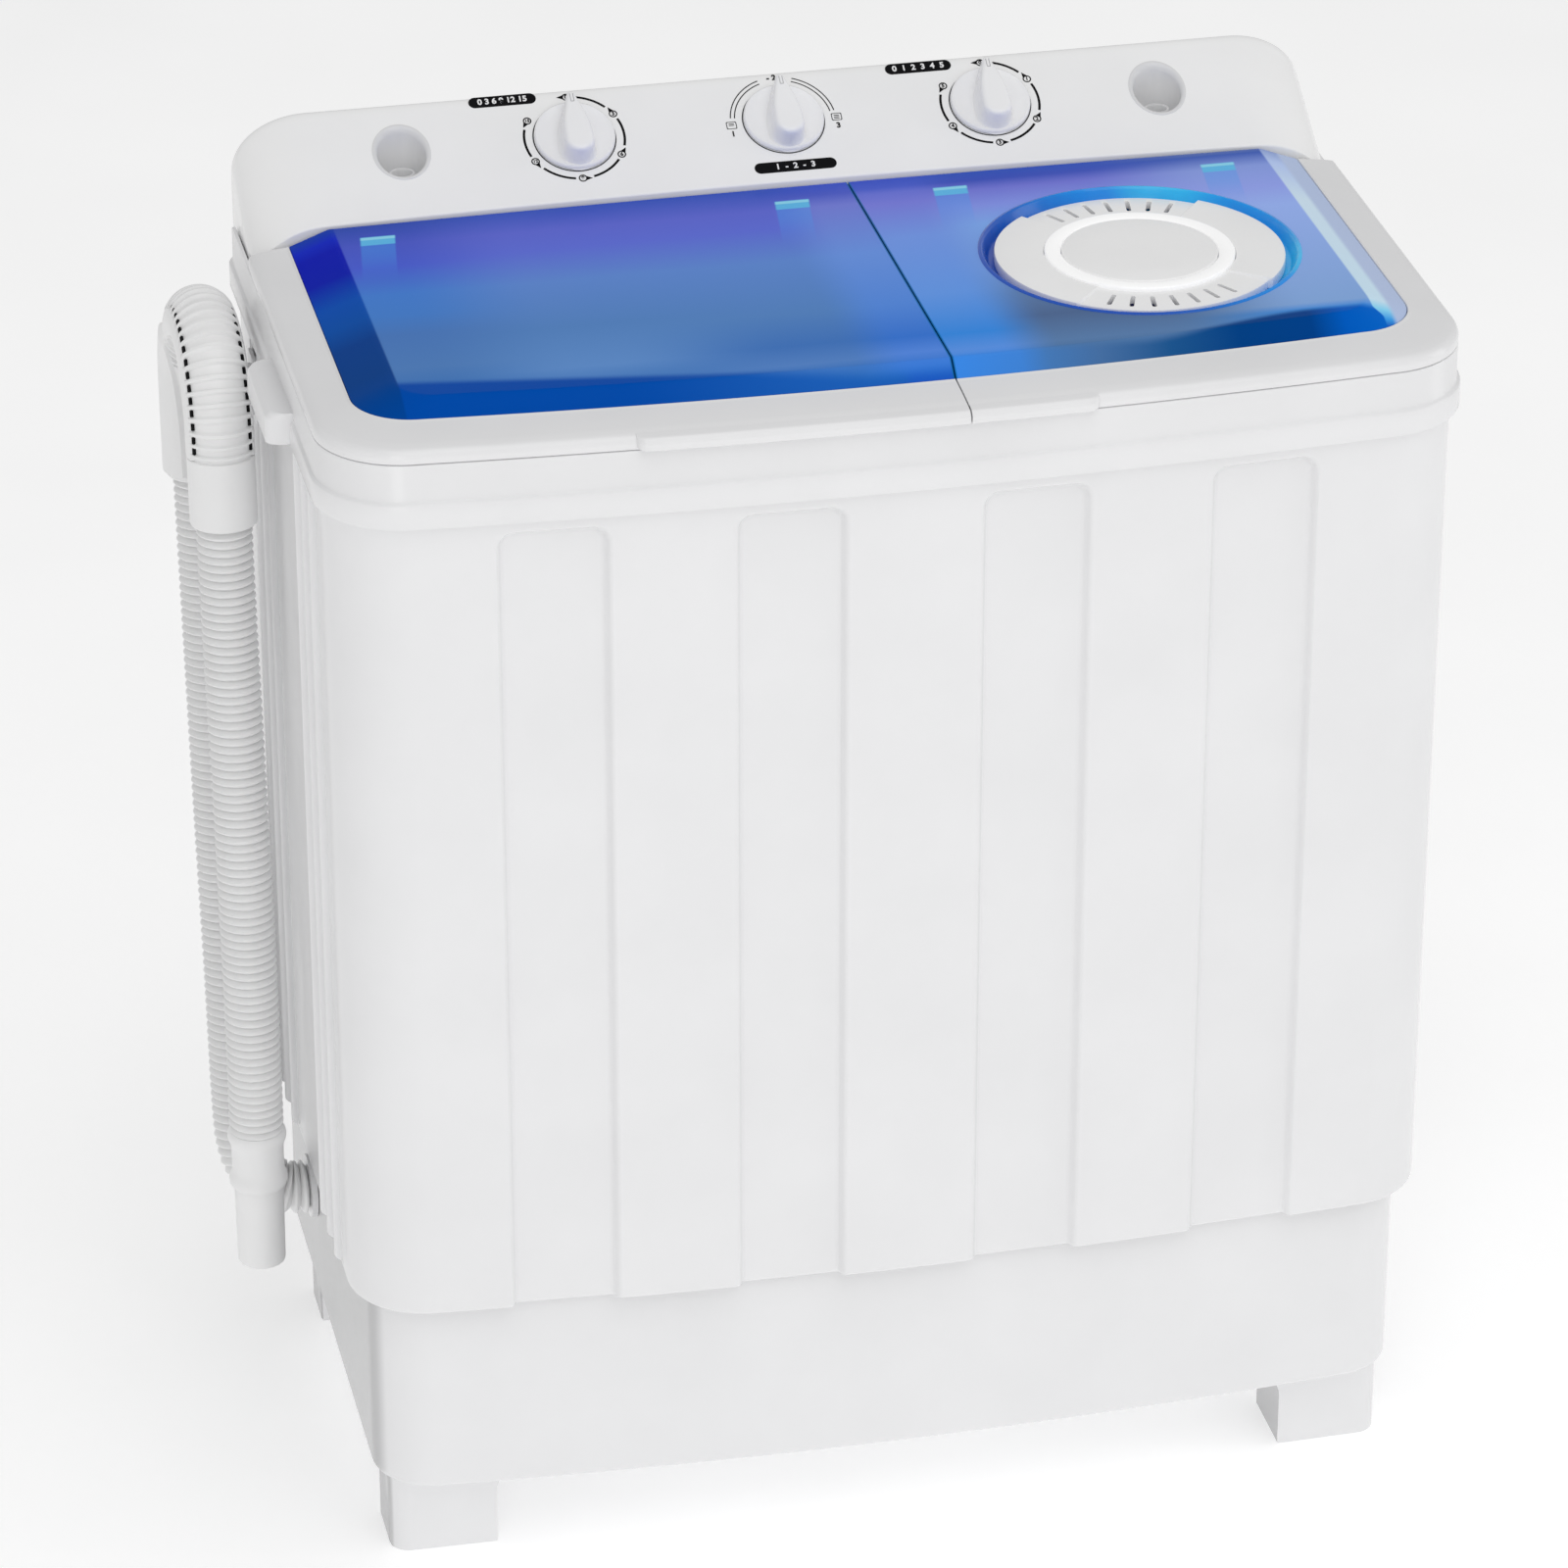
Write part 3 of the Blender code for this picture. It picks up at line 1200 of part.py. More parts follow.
def make_electrics(mats):
    low = (0.330, 0.140, DECK_Z + GAP)
    switch = box("lid_switch", low, (0.346, 0.168, DECK_Z + 0.016), mats["grey"])
    low = (0.334, 0.128, DECK_Z + 0.011)
    join(switch, box("switch_leaf", low, (0.342, 0.142, DECK_Z + 0.0125), None))
    profile = ((0.020, 0.062), (0.020, 0.130), (0.018, 0.132))
    turned("capacitor", profile, mats["grey"], (0.105, 0.160), 16)
    x, z = GLAND_XZ
    y = CABINET_REAR_Y - BASE_INSET + GAP
    ends = ((x, y, z), (x, y + 0.0131, z))
    gland = cylinder_between("power_cord_gland", *ends, GLAND_RADIUS, mats["dark"], 16)
    ends = ((x, CABINET_REAR_Y - 0.0225, z), (x, CABINET_REAR_Y + 0.0175, z))
    cut(gland, cylinder_between("gland_bore", *ends, GLAND_BORE, None, 12))


# ---------------------------------------------------------------- hose


def smooth_route(points, step):
    """Points about `step` apart on a Catmull-Rom curve through the given points."""
    spots = [Vector(p) for p in points]
    ends = [spots[0] * 2 - spots[1]] + spots + [spots[-1] * 2 - spots[-2]]
    fine = []
    for i in range(1, len(ends) - 2):
        a, b, c, d = ends[i - 1], ends[i], ends[i + 1], ends[i + 2]
        for k in range(16):
            t = k / 16
            square = (2 * a - 5 * b + 4 * c - d) * t**2
            cube = (3 * b - a - 3 * c + d) * t**3
            fine.append(0.5 * (2 * b + (c - a) * t + square + cube))
    fine.append(spots[-1])
    total = sum((q - p).length for p, q in zip(fine, fine[1:]))
    count = max(2, round(total / step))
    result = [fine[0]]
    walked = 0.0
    target = total / count
    for p, q in zip(fine, fine[1:]):
        length = (q - p).length
        while walked + length >= target - 1e-9 and len(result) < count:
            result.append(p.lerp(q, (target - walked) / length))
            target += total / count
        walked += length
    result.append(fine[-1])
    return result


def tube_curve(name, route, radius, mat, resolution=2):
    curve = bpy.data.curves.new(name, "CURVE")
    curve.dimensions = "3D"
    curve.bevel_depth = radius
    curve.bevel_resolution = resolution
    curve.use_fill_caps = True
    curve.twist_mode = "MINIMUM"
    spline = curve.splines.new("POLY")
    spline.points.add(len(route) - 1)
    for point, spot in zip(spline.points, route):
        point.co = (*spot, 1.0)
    obj = bpy.data.objects.new(name, curve)
    bpy.context.scene.collection.objects.link(obj)
    curve.materials.append(mat)
    return obj


def make_hose(mats):
    route = smooth_route(HOSE_ROUTE, HOSE_STEP)
    start = Vector((OUTLET[0] - 0.0050, OUTLET[1], OUTLET[2]))
    tube_curve("drain_hose", [start] + route, HOSE_RADIUS, mats["hose"])
    end = route[-1]
    heading = (route[-1] - route[-2]).normalized()
    start = end + heading * GAP
    collar = start + heading * NOZZLE_COLLAR
    tip = start + heading * NOZZLE_LENGTH
    nozzle = cylinder_between("hose_nozzle", start, collar, HOSE_RADIUS + 0.0015, mats["hose"], 24)
    low = start + heading * 0.010
    join(nozzle, cylinder_between("nozzle_tail", low, tip, NOZZLE_RADII[1], None, 24))
    low = start + heading * 0.012
    cut(nozzle, cylinder_between("nozzle_bore", low, tip + heading * 0.01, NOZZLE_RADII[0], None, 20))


def rings_along(points, radius, count):
    """Rings of one radius square to a route, one at each of its points."""
    loops = []
    for i, spot in enumerate(points):
        before = points[max(i - 1, 0)]
        after = points[min(i + 1, len(points) - 1)]
        heading = ((after - spot).normalized() + (spot - before).normalized()).normalized()
        sideways = Vector((1, 0, 0))
        upward = heading.cross(sideways).normalized()
        ring = []
        for x, y in circle(0, 0, radius, count):
            ring.append(spot + sideways * x + upward * y)
        loops.append(ring)
    return loops


def make_hook(mats):
    """The moulded hook that carries the hose over its arch: a sleeve round the hose."""
    route = smooth_route(HOSE_ROUTE, HOSE_STEP)
    top = max(range(len(route)), key=lambda i: route[i].z)
    arch = [p for i, p in enumerate(route) if p.z > (HOOK_FROM_Z if i < top else HOOK_TO_Z)]
    inner, outer = HOOK_RADII
    loops = rings_along(arch, outer, 12) + rings_along(arch, inner, 12)[::-1]
    loft("hose_hook", loops, mats["hose"], ring=True)


def make_clip(mats):
    """The clip on the cabinet's side that holds the hose hook."""
    x_wall = -CABINET_HALF_WIDTH - RIB_HEIGHT - GAP
    clip = box("hose_clip", (x_wall - 0.0025, 0.090, 0.700), (x_wall, 0.122, 0.740), mats["white"])
    for number, z in enumerate((0.706, 0.728)):
        arm = box(f"clip_arm_{number}", (-0.3730, 0.094, z), (x_wall - 0.0015, 0.118, z + 0.0035), None)
        join(clip, arm)


def set_origin(name, point):
    """Moves an object's origin to a point on its joint's axis, and leaves its shape where it is."""
    obj = bpy.data.objects[name]
    obj.data.transform(Matrix.Translation(-Vector(point)))
    obj.location = point


def set_joint_origins():
    pivots = {
        (WASH_X, WASH_Y, WASH_FLOOR_Z): ("pulsator", "pulsator_shaft", "large_pulley"),
        (WASH_MOTOR_X, WASH_MOTOR_Y, PULLEY_Z): ("motor_pulley",),
        (SPIN_X, SPIN_Y, BASKET_Z[0]): ("spin_basket", "spin_shaft", "brake_drum"),
        (SPIN_X + BRAKE_PIVOT[0], SPIN_Y + BRAKE_PIVOT[1], 0.250): ("brake_lever",),
        (*VALVE_XY, 0.240): ("valve_plunger",),
    }
    wash_x = sum(HINGE_XS["wash"]) / 2
    spin_x = sum(HINGE_XS["spin"]) / 2
    wash = ("wash_lid", "wash_lid_window", "wash_hinge_left", "wash_hinge_right")
    spin = ("spin_lid", "spin_lid_window", "spin_hinge_left", "spin_hinge_right")
    spin += ("vent_disc", "vent_ring", "vent_cap")
    pivots[(wash_x, HINGE_Y, HINGE_Z)] = wash
    pivots[(spin_x, HINGE_Y, HINGE_Z)] = spin
    for point, names in pivots.items():
        for name in names:
            set_origin(name, point)


def main():
    clear_scene()
    mats = make_materials()
    make_base(mats)
    make_feet(mats)
    make_cabinet(mats)
    make_back_cover(mats)
    make_top_frame(mats)
    make_lids(mats)
    make_console(mats)
    make_controls(mats)
    make_wash_tub(mats)
    make_shaft_housing(mats)
    make_pulsator(mats)
    make_drive(mats)
    make_spin_tub(mats)
    make_spin_basket(mats)
    make_spin_motor(mats)
    make_brake_lever(mats)
    make_lint_filter(mats)
    make_drain(mats)
    make_outlet(mats)
    make_electrics(mats)
    make_hose(mats)
    make_hook(mats)
    make_clip(mats)
    set_joint_origins()


main()
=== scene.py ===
"""Twin tub washer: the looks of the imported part, in its own frame (metres, +Z up, front towards -Y)."""

import itertools
import json
import math

import bmesh
import bpy
import numpy as np
from mathutils import Matrix, Vector


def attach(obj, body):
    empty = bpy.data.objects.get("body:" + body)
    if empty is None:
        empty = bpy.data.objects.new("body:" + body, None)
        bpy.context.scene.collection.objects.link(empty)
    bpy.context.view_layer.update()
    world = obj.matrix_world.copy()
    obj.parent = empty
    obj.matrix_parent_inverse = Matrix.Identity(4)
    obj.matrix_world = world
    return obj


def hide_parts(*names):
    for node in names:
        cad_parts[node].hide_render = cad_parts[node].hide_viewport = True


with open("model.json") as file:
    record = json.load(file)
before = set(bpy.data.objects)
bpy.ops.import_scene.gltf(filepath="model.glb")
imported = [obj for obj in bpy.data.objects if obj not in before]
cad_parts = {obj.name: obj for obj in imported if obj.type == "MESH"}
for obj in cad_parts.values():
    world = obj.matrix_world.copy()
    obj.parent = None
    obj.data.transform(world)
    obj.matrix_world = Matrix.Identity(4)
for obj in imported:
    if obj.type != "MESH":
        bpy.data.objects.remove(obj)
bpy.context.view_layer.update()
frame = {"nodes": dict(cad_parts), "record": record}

# The cabinet and its base
HALF = 0.355
FRONT_Y = -0.183
REAR_Y = 0.2025
BOW = 0.0165
FRONT_R = 0.052
REAR_R = 0.012
WALL = 0.003
BASE_OUT = -0.0125
FOOT_TOP = 0.0566
BASE_TOP = 0.24
CAB_LOW = 0.197
CAB_TOP = 0.7755
RECESSES = (-0.2225, -0.0765, 0.0765, 0.2225)
RECESS_HALF = 0.035
RECESS_STEP = 0.0045
RECESS_DEPTH = 0.0055
RECESS_TOP = 0.746
RECESS_R = 0.012
RIBS = (-0.111, -0.083, -0.055, 0.065, 0.093, 0.121)
RIB_HALF = 0.003
RIB_HEIGHT = 0.0042
RIB_Z = (0.2, 0.75)

# Top frame, lids, console
SKIRT_LOW = 0.7534
SKIRT_STEP = 0.77
SPLIT = 0.795
RIM_OUT = 0.0035
DECK = 0.779
SEAM = 0.032
SEAM_HALF = 0.0005
EDGE_Z = 0.8077
PLATEAU = 0.817
WIN_HALF = 0.3315
WIN_FRONT = -0.1505
WIN_R = 0.038
BEVEL_SIDE = 0.026
BEVEL_FRONT = 0.012
LID_REAR = 0.12
REAR_BOW = 0.005
SHELL = 0.0028
HINGE_Y = 0.113
HINGE_Z = 0.8095
HINGES = {"wash": (-0.268, 0.0), "spin": (0.104, 0.282)}
VENT = (0.187, -0.021)
CON_FRONT = 0.124
CON_BOW = 0.0045
CON_REAR = 0.2085
CON_LOW = 0.7794
SLOPE = math.radians(31.0)
ROLL = 0.048
DROP = 0.036
CONTROL_S = 0.054
KNOBS = {"wash_timer_knob": -0.1375, "wash_selector_knob": 0.0, "spin_timer_knob": 0.1375}
KNOB_R = 0.0262
INLETS = {"water_inlet_left": -0.25, "water_inlet_right": 0.25}
INLET_R = 0.0155
WASH = (-0.165, -0.018)
SPIN = (0.19, -0.02)

# Drain hose
HOSE_R = 0.018
OUTLET = (-0.3425, 0.088, 0.136)
HOSE_ROUTE = (
    (-0.354, 0.088, 0.136), (-0.362, 0.0885, 0.137), (-0.3725, 0.09, 0.142), (-0.3835, 0.093, 0.155),
    (-0.389, 0.0965, 0.175), (-0.39, 0.102, 0.21), (-0.39, 0.11, 0.289), (-0.39, 0.126, 0.39),
    (-0.39, 0.146, 0.56), (-0.39, 0.155, 0.64), (-0.39, 0.158, 0.7), (-0.39, 0.154, 0.731),
    (-0.39, 0.136, 0.756), (-0.39, 0.104, 0.766), (-0.39, 0.072, 0.756), (-0.39, 0.054, 0.731),
    (-0.39, 0.049, 0.7), (-0.39, 0.044, 0.615), (-0.39, 0.03, 0.5), (-0.39, 0.018, 0.41),
    (-0.39, 0.0112, 0.3), (-0.39, 0.0108, 0.232),
)
HOSE_PITCH = 0.0056
GROOVE = 0.0042

SIDES = ((-1, "left"), (1, "right"))
CABINET = ("cabinet", "cabinet_white")
# the tie for print, and for dark pieces of painted shade in slots and gaps
PRINT_AND_SHADE = ("cabinet", "inner_grey")
SQUARE = ((-1, -1), (1, -1), (1, 1), (-1, 1))
# how far print reaches below and above the console's face
INK = (-0.0003, 0.00012)
# turns a frame's Z along the X of the frame outside
QUARTER = Matrix.Rotation(math.pi / 2, 4, "Y")


# ---- shader nodes


def srgb(r, g, b):
    """A colour written in 0 to 255 steps, as the linear colour a shader takes."""
    out = []
    for value in (r, g, b):
        v = value / 255
        out.append(v / 12.92 if v <= 0.04045 else ((v + 0.055) / 1.055) ** 2.4)
    return (*out, 1.0)


class Shader:
    """A small helper for writing node materials."""

    def __init__(self, name):
        self.mat = bpy.data.materials.new(name)
        self.mat.use_nodes = True
        self.tree = self.mat.node_tree
        self.bsdf = self.tree.nodes["Principled BSDF"]
        self.coord = self.tree.nodes.new("ShaderNodeTexCoord")
        self.split = None

    def node(self, kind, **values):
        made = self.tree.nodes.new(kind)
        for key, value in values.items():
            setattr(made, key, value)
        return made

    def link(self, source, target):
        self.tree.links.new(source, target)

    def feed(self, made, sockets, values):
        """Sets each of a node's sockets to its number or colour, or links it to its source."""
        for socket, value in zip(sockets, values):
            if isinstance(value, (int, float, tuple)):
                made.inputs[socket].default_value = value
            else:
                self.link(value, made.inputs[socket])

    def value(self, name, value):
        self.bsdf.inputs[name].default_value = value

    def axis(self, name):
        if self.split is None:
            self.split = self.node("ShaderNodeSeparateXYZ")
            self.link(self.coord.outputs["Object"], self.split.inputs[0])
        return self.split.outputs[name]

    def math(self, operation, a, b=0.0):
        made = self.node("ShaderNodeMath", operation=operation)
        self.feed(made, (0, 1), (a, b))
        return made.outputs[0]

    def step(self, value, low, high, to_low=0.0, to_high=1.0, kind="SMOOTHSTEP"):
        """A step of a value from low to high, smooth at both ends."""
        made = self.node("ShaderNodeMapRange", interpolation_type=kind)
        names = ("Value", "From Min", "From Max", "To Min", "To Max")
        self.feed(made, names, (value, low, high, to_low, to_high))
        return made.outputs["Result"]

    def band(self, value, low, high, soft):
        up = self.step(value, low - soft, low + soft)
        down = self.step(value, high - soft, high + soft, 1.0, 0.0)
        return self.math("MULTIPLY", up, down)

    def ramp(self, value, stops):
        made = self.node("ShaderNodeValToRGB")
        self.link(value, made.inputs["Fac"])
        ramp = made.color_ramp
        while len(ramp.elements) < len(stops):
            ramp.elements.new(0.5)
        for element, (place, colour) in zip(ramp.elements, stops):
            element.position = place
            element.color = colour
        return made.outputs["Color"]

    def mix(self, factor, a, b):
        made = self.node("ShaderNodeMix", data_type="RGBA")
        self.feed(made, (0, 6, 7), (factor, a, b))
        return made.outputs[2]

    def noise(self, scale, detail=3.0, rough=0.5, stretch=None):
        made = self.node("ShaderNodeTexNoise")
        source = self.coord.outputs["Object"]
        if stretch:
            mapping = self.node("ShaderNodeMapping")
            self.feed(mapping, ("Scale", "Vector"), (stretch, source))
            source = mapping.outputs["Vector"]
        self.feed(made, ("Vector", "Scale", "Detail", "Roughness"), (source, scale, detail, rough))
        return made.outputs["Fac"]

    def bump(self, height, strength):
        made = self.node("ShaderNodeBump")
        self.feed(made, ("Strength", "Distance", "Height"), (strength, 0.0002, height))
        self.link(made.outputs["Normal"], self.bsdf.inputs["Normal"])

    def colour(self, source):
        self.link(source, self.bsdf.inputs["Base Color"])

    def mottle(self, colour, noise, dark, light, low=0.3, high=0.7):
        """A colour that a noise darkens and lightens by the given factors."""
        return self.ramp(noise, [(low, shade(colour, dark)), (high, shade(colour, light))])

    def rough(self, source, low, high):
        self.link(self.step(source, 0.25, 0.75, low, high), self.bsdf.inputs["Roughness"])


def shade(colour, factor):
    return (*[min(1.0, c * factor) for c in colour[:3]], 1.0)


def plastic(name, colour, rough, grain=260.0, vary=0.015, gloss=0.45, glow=0.0):
    """Moulded plastic: a faint mottle, a fine satin grain and a slightly uneven gloss; `glow` adds a faint
    glow of painted light.
    """
    s = Shader(name)
    s.colour(s.mottle(colour, s.noise(14.0, 4.0), 1 - vary, 1 + vary))
    s.rough(s.noise(24.0), rough * 0.92, rough * 1.1)
    s.bump(s.noise(grain, 2.0), 0.01)
    s.value("Specular IOR Level", gloss)
    s.value("Emission Color", (1, 1, 1, 1))
    s.value("Emission Strength", glow)
    return s.mat


def base_plastic(name, colour, rough):
    """The base's plastic: as the cabinet's, but greyer on its left side, which stands in shade."""
    s = Shader(name)
    facing = s.node("ShaderNodeSeparateXYZ")
    s.link(s.node("ShaderNodeNewGeometry").outputs["Normal"], facing.inputs[0])
    left = s.step(facing.outputs["X"], -0.8, -0.985)
    s.colour(s.mix(left, s.mottle(colour, s.noise(14.0, 4.0), 0.985, 1.015), shade(colour, 0.62)))
    s.rough(s.noise(24.0), rough * 0.92, rough * 1.1)
    s.bump(s.noise(260.0, 2.0), 0.01)
    s.value("Specular IOR Level", 0.45)
    return s.mat


def dish(name):
    """The dish round the vent, in painted light and shade: deep blue on the shaded left, running to cyan on
    the lit right and at the rear.
    """
    s = Shader(name)
    across = s.math("ADD", s.axis("X"), s.math("MULTIPLY", s.axis("Y"), 0.45))
    tint_and_light = s.mix(s.step(across, 0.1, 0.25), tone(4, 74, 176), tone(0, 142, 226))
    # a painted highlight: a bright cyan band across the dish's right-hand part
    tint_and_light = s.mix(s.band(across, 0.235, 0.275, 0.012), tint_and_light, tone(40, 178, 236))
    s.colour(s.mix(s.step(s.noise(40.0), 0.3, 0.7, 0.0, 0.12), tint_and_light, tone(0, 60, 150)))
    s.rough(s.noise(24.0), 0.16, 0.2)
    s.bump(s.noise(260.0, 2.0), 0.01)
    return s.mat


def metal(name, colour, rough, metallic=1.0):
    """Brushed or plated metal with fine drawn streaks and a few dull patches."""
    s = Shader(name)
    streak = s.noise(120.0, 6.0, 0.6, (1, 1, 12))
    s.colour(s.mottle(colour, streak, 0.86, 1.08, 0.3, 0.72))
    s.rough(s.noise(30.0, 4.0), rough * 0.8, rough * 1.3)
    s.bump(streak, 0.15)
    s.value("Metallic", metallic)
    return s.mat


def painted(name, colour, rough):
    """Paint with an orange-peel grain over metal."""
    s = Shader(name)
    s.colour(s.mottle(colour, s.noise(20.0, 4.0), 0.9, 1.1))
    s.rough(s.noise(60.0), rough * 0.8, rough * 1.2)
    s.bump(s.noise(320.0), 0.2)
    s.value("Metallic", 0.6)
    return s.mat


def rubber(name, colour, rough):
    """Dull rubber with a coarse grain."""
    s = Shader(name)
    s.colour(s.mottle(colour, s.noise(40.0, 4.0), 0.8, 1.5, 0.3, 0.75))
    s.rough(s.noise(90.0), rough * 0.9, rough * 1.2)
    s.bump(s.noise(600.0), 0.35)
    return s.mat


def tone(r, g, b):
    """A lid colour, raised by what the studio's light takes from it."""
    return shade(srgb(r, g, b), 1.26)


def field(s, place, *stops):
    """A colour that changes along one direction of a lid; each stop is a place and a colour."""
    low, high = stops[0][0], stops[-1][0]
    share = s.step(place, low, high, kind="LINEAR")
    return s.ramp(share, [((at - low) / (high - low), tone(*rgb)) for at, rgb in stops])


def wash_tint(s, x, y):
    """The wash lid's colour with painted light and shade from the tub below: violet over the rear wall,
    blue over the tub, greyer where the tub's far side shows.
    """
    rear = ((0.06, (90, 105, 205)), (0.09, (90, 100, 200)), (0.125, (50, 80, 180)))
    left = field(
        s, y,
        (-0.165, (30, 100, 175)), (-0.1, (75, 120, 180)), (-0.05, (70, 115, 180)), (-0.02, (65, 120, 195)),
        (0.012, (65, 120, 200)), (0.055, (70, 90, 200)), (0.09, (70, 85, 190)), (0.125, (40, 70, 165)),
    )
    middle = field(
        s, y,
        (-0.165, (30, 100, 175)), (-0.12, (90, 135, 195)), (-0.06, (80, 125, 185)), (0.01, (90, 130, 200)),
        *rear,
    )
    # nearer the seam the painted light streak lies further forward, with a hollow of painted shade behind
    # it
    near = field(
        s, y,
        (-0.165, (30, 100, 180)), (-0.146, (80, 125, 190)), (-0.118, (60, 110, 180)),
        (-0.07, (80, 125, 185)), (0.01, (90, 130, 200)), *rear,
    )
    right = field(
        s, y,
        (-0.165, (40, 110, 200)), (-0.143, (80, 130, 215)), (-0.12, (50, 110, 200)),
        (-0.07, (80, 130, 210)), (0.011, (100, 140, 215)), (0.09, (110, 120, 205)), (0.108, (75, 90, 190)),
        (0.125, (55, 80, 190)),
    )
    colour = s.mix(s.step(x, -0.28, -0.19), left, middle)
    colour = s.mix(s.step(x, -0.17, -0.06), colour, near)
    return s.mix(s.step(x, -0.03, 0.008), colour, right)


def spin_tint(s, x, y):
    """The spin lid's colour with painted light and shade: lighter than the wash lid, with a painted shadow
    of the vent in front of the disc.
    """
    left = field(
        s, y,
        (-0.165, (55, 130, 220)), (-0.146, (85, 140, 220)), (-0.122, (50, 130, 215)),
        (-0.06, (95, 145, 220)), (0.03, (110, 145, 220)), (0.085, (115, 120, 210)),
        (0.102, (100, 110, 205)), (0.111, (70, 90, 195)), (0.125, (55, 80, 190)),
    )
    middle = field(
        s, y,
        (-0.165, (65, 105, 150)), (-0.145, (85, 120, 165)), (-0.105, (75, 100, 140)),
        (-0.07, (90, 120, 165)), (-0.03, (115, 150, 210)), (0.04, (120, 160, 225)), (0.07, (125, 140, 220)),
        (0.095, (110, 115, 205)), (0.11, (60, 80, 180)), (0.125, (45, 80, 180)),
    )
    right = field(
        s, y,
        (-0.133, (65, 135, 210)), (-0.124, (125, 160, 210)), (0.03, (145, 170, 230)),
        (0.06, (140, 155, 225)), (0.095, (130, 150, 215)), (0.116, (60, 90, 175)), (0.125, (100, 120, 170)),
    )
    colour = s.mix(s.step(x, 0.064, 0.104), left, middle)
    return s.mix(s.step(x, 0.175, 0.27), colour, right)


def wash_bevel(s, x, y, colour):
    """The painted shade of the tub's front wall crosses the flat at a slant and runs out on the bevel."""
    edge = s.math("ADD", y, s.math("MULTIPLY", s.math("MINIMUM", x, -0.02), 0.15))
    deep = s.mix(s.step(x, -0.18, -0.02), tone(0, 70, 160), tone(25, 90, 175))
    deep = s.mix(s.step(x, -0.004, 0.01), deep, tone(25, 85, 185))
    # the left bevel is painted dark navy: painted shade
    side = field(
        s, y,
        (-0.15, (0, 65, 145)), (-0.1, (0, 60, 130)), (-0.05, (0, 60, 135)), (-0.02, (0, 75, 160)),
        (0.012, (0, 75, 170)), (0.05, (0, 25, 165)), (0.09, (0, 20, 170)), (0.105, (5, 35, 185)),
        (0.122, (20, 60, 160)),
    )
    colour = s.mix(s.step(edge, -0.1605, -0.17), colour, deep)
    return s.mix(s.step(x, -0.3022, -0.304), colour, side)


def spin_bevel(s, x, y, colour):
    """The spin lid's bevels: the vent's shade on the front one, bright daylight on the right one."""
    edge = s.math("SUBTRACT", y, s.math("MULTIPLY", s.step(x, 0.15, 0.27), 0.02))
    deep = field(
        s, x,
        (0.034, (55, 130, 220)), (0.075, (60, 125, 205)), (0.092, (65, 115, 175)), (0.125, (65, 105, 155)),
        (0.17, (25, 80, 135)), (0.215, (0, 60, 125)), (0.262, (0, 60, 130)), (0.284, (0, 85, 180)),
        (0.312, (5, 95, 190)),
    )
    side = field(
        s, y,
        (-0.15, (20, 80, 180)), (-0.143, (60, 150, 220)), (-0.134, (130, 200, 245)),
        (-0.124, (190, 215, 250)), (0.04, (195, 215, 250)), (0.1, (170, 190, 235)),
        (0.122, (130, 150, 200)),
    )
    side = s.mix(s.step(x, 0.315, 0.32), side, tone(170, 185, 215))
    ahead = s.math("MULTIPLY", s.step(y, -0.132, -0.142), 0.005)
    colour = s.mix(s.step(edge, -0.15, -0.157), colour, deep)
    return s.mix(s.step(s.math("SUBTRACT", x, ahead), 0.3048, 0.3064), colour, side)


def leaf_tint(s, x, y, hinge, colour):
    """A hinge leaf below the plastic, painted on it: a pale head with a painted highlight on its lip, and a
    leg that fades forwards.
    """
    behind = s.math("SUBTRACT", HINGE_Y - 0.016, y)
    along = s.math("ADD", x, s.math("MULTIPLY", behind, 0.14))
    bar = s.band(along, hinge - 0.0215, hinge + 0.0005, 0.0008)
    leg = s.math("MULTIPLY", s.step(y, 0.03, 0.088), s.step(y, 0.096, 0.089))
    # the last band, on the leaf's lip, is a painted highlight
    for part, share, tint_and_light in (
        (leg, 0.4, tone(70, 150, 240)), (s.band(y, 0.0905, 0.1035, 0.001), 0.95, tone(92, 178, 222)),
        (s.band(y, 0.099, 0.103, 0.0008), 0.7, tone(150, 215, 240)),
    ):
        colour = s.mix(s.math("MULTIPLY", s.math("MULTIPLY", bar, part), share), colour, tint_and_light)
    return colour


def tinted(name, lid, tint_and_light, bevel):
    """Tinted lid plastic, drawn opaque: the tub's light and shade, as seen through it, are painted on as
    soft colour fields.
    """
    s = Shader(name)
    x, y = s.axis("X"), s.axis("Y")
    colour = tint_and_light(s, x, y)
    for hinge in HINGES[lid]:
        colour = leaf_tint(s, x, y, hinge, colour)
    colour = bevel(s, x, y, colour)
    seam = s.step(s.math("ABSOLUTE", s.math("SUBTRACT", x, SEAM)), 0.0016, 0.0009)
    s.colour(s.mix(s.math("MULTIPLY", seam, 0.8), colour, tone(0, 96, 150)))
    s.rough(s.noise(70.0, 4.0), 0.16, 0.24)
    s.bump(s.noise(240.0, 2.0), 0.02)
    s.value("IOR", 1.08)
    return s.mat


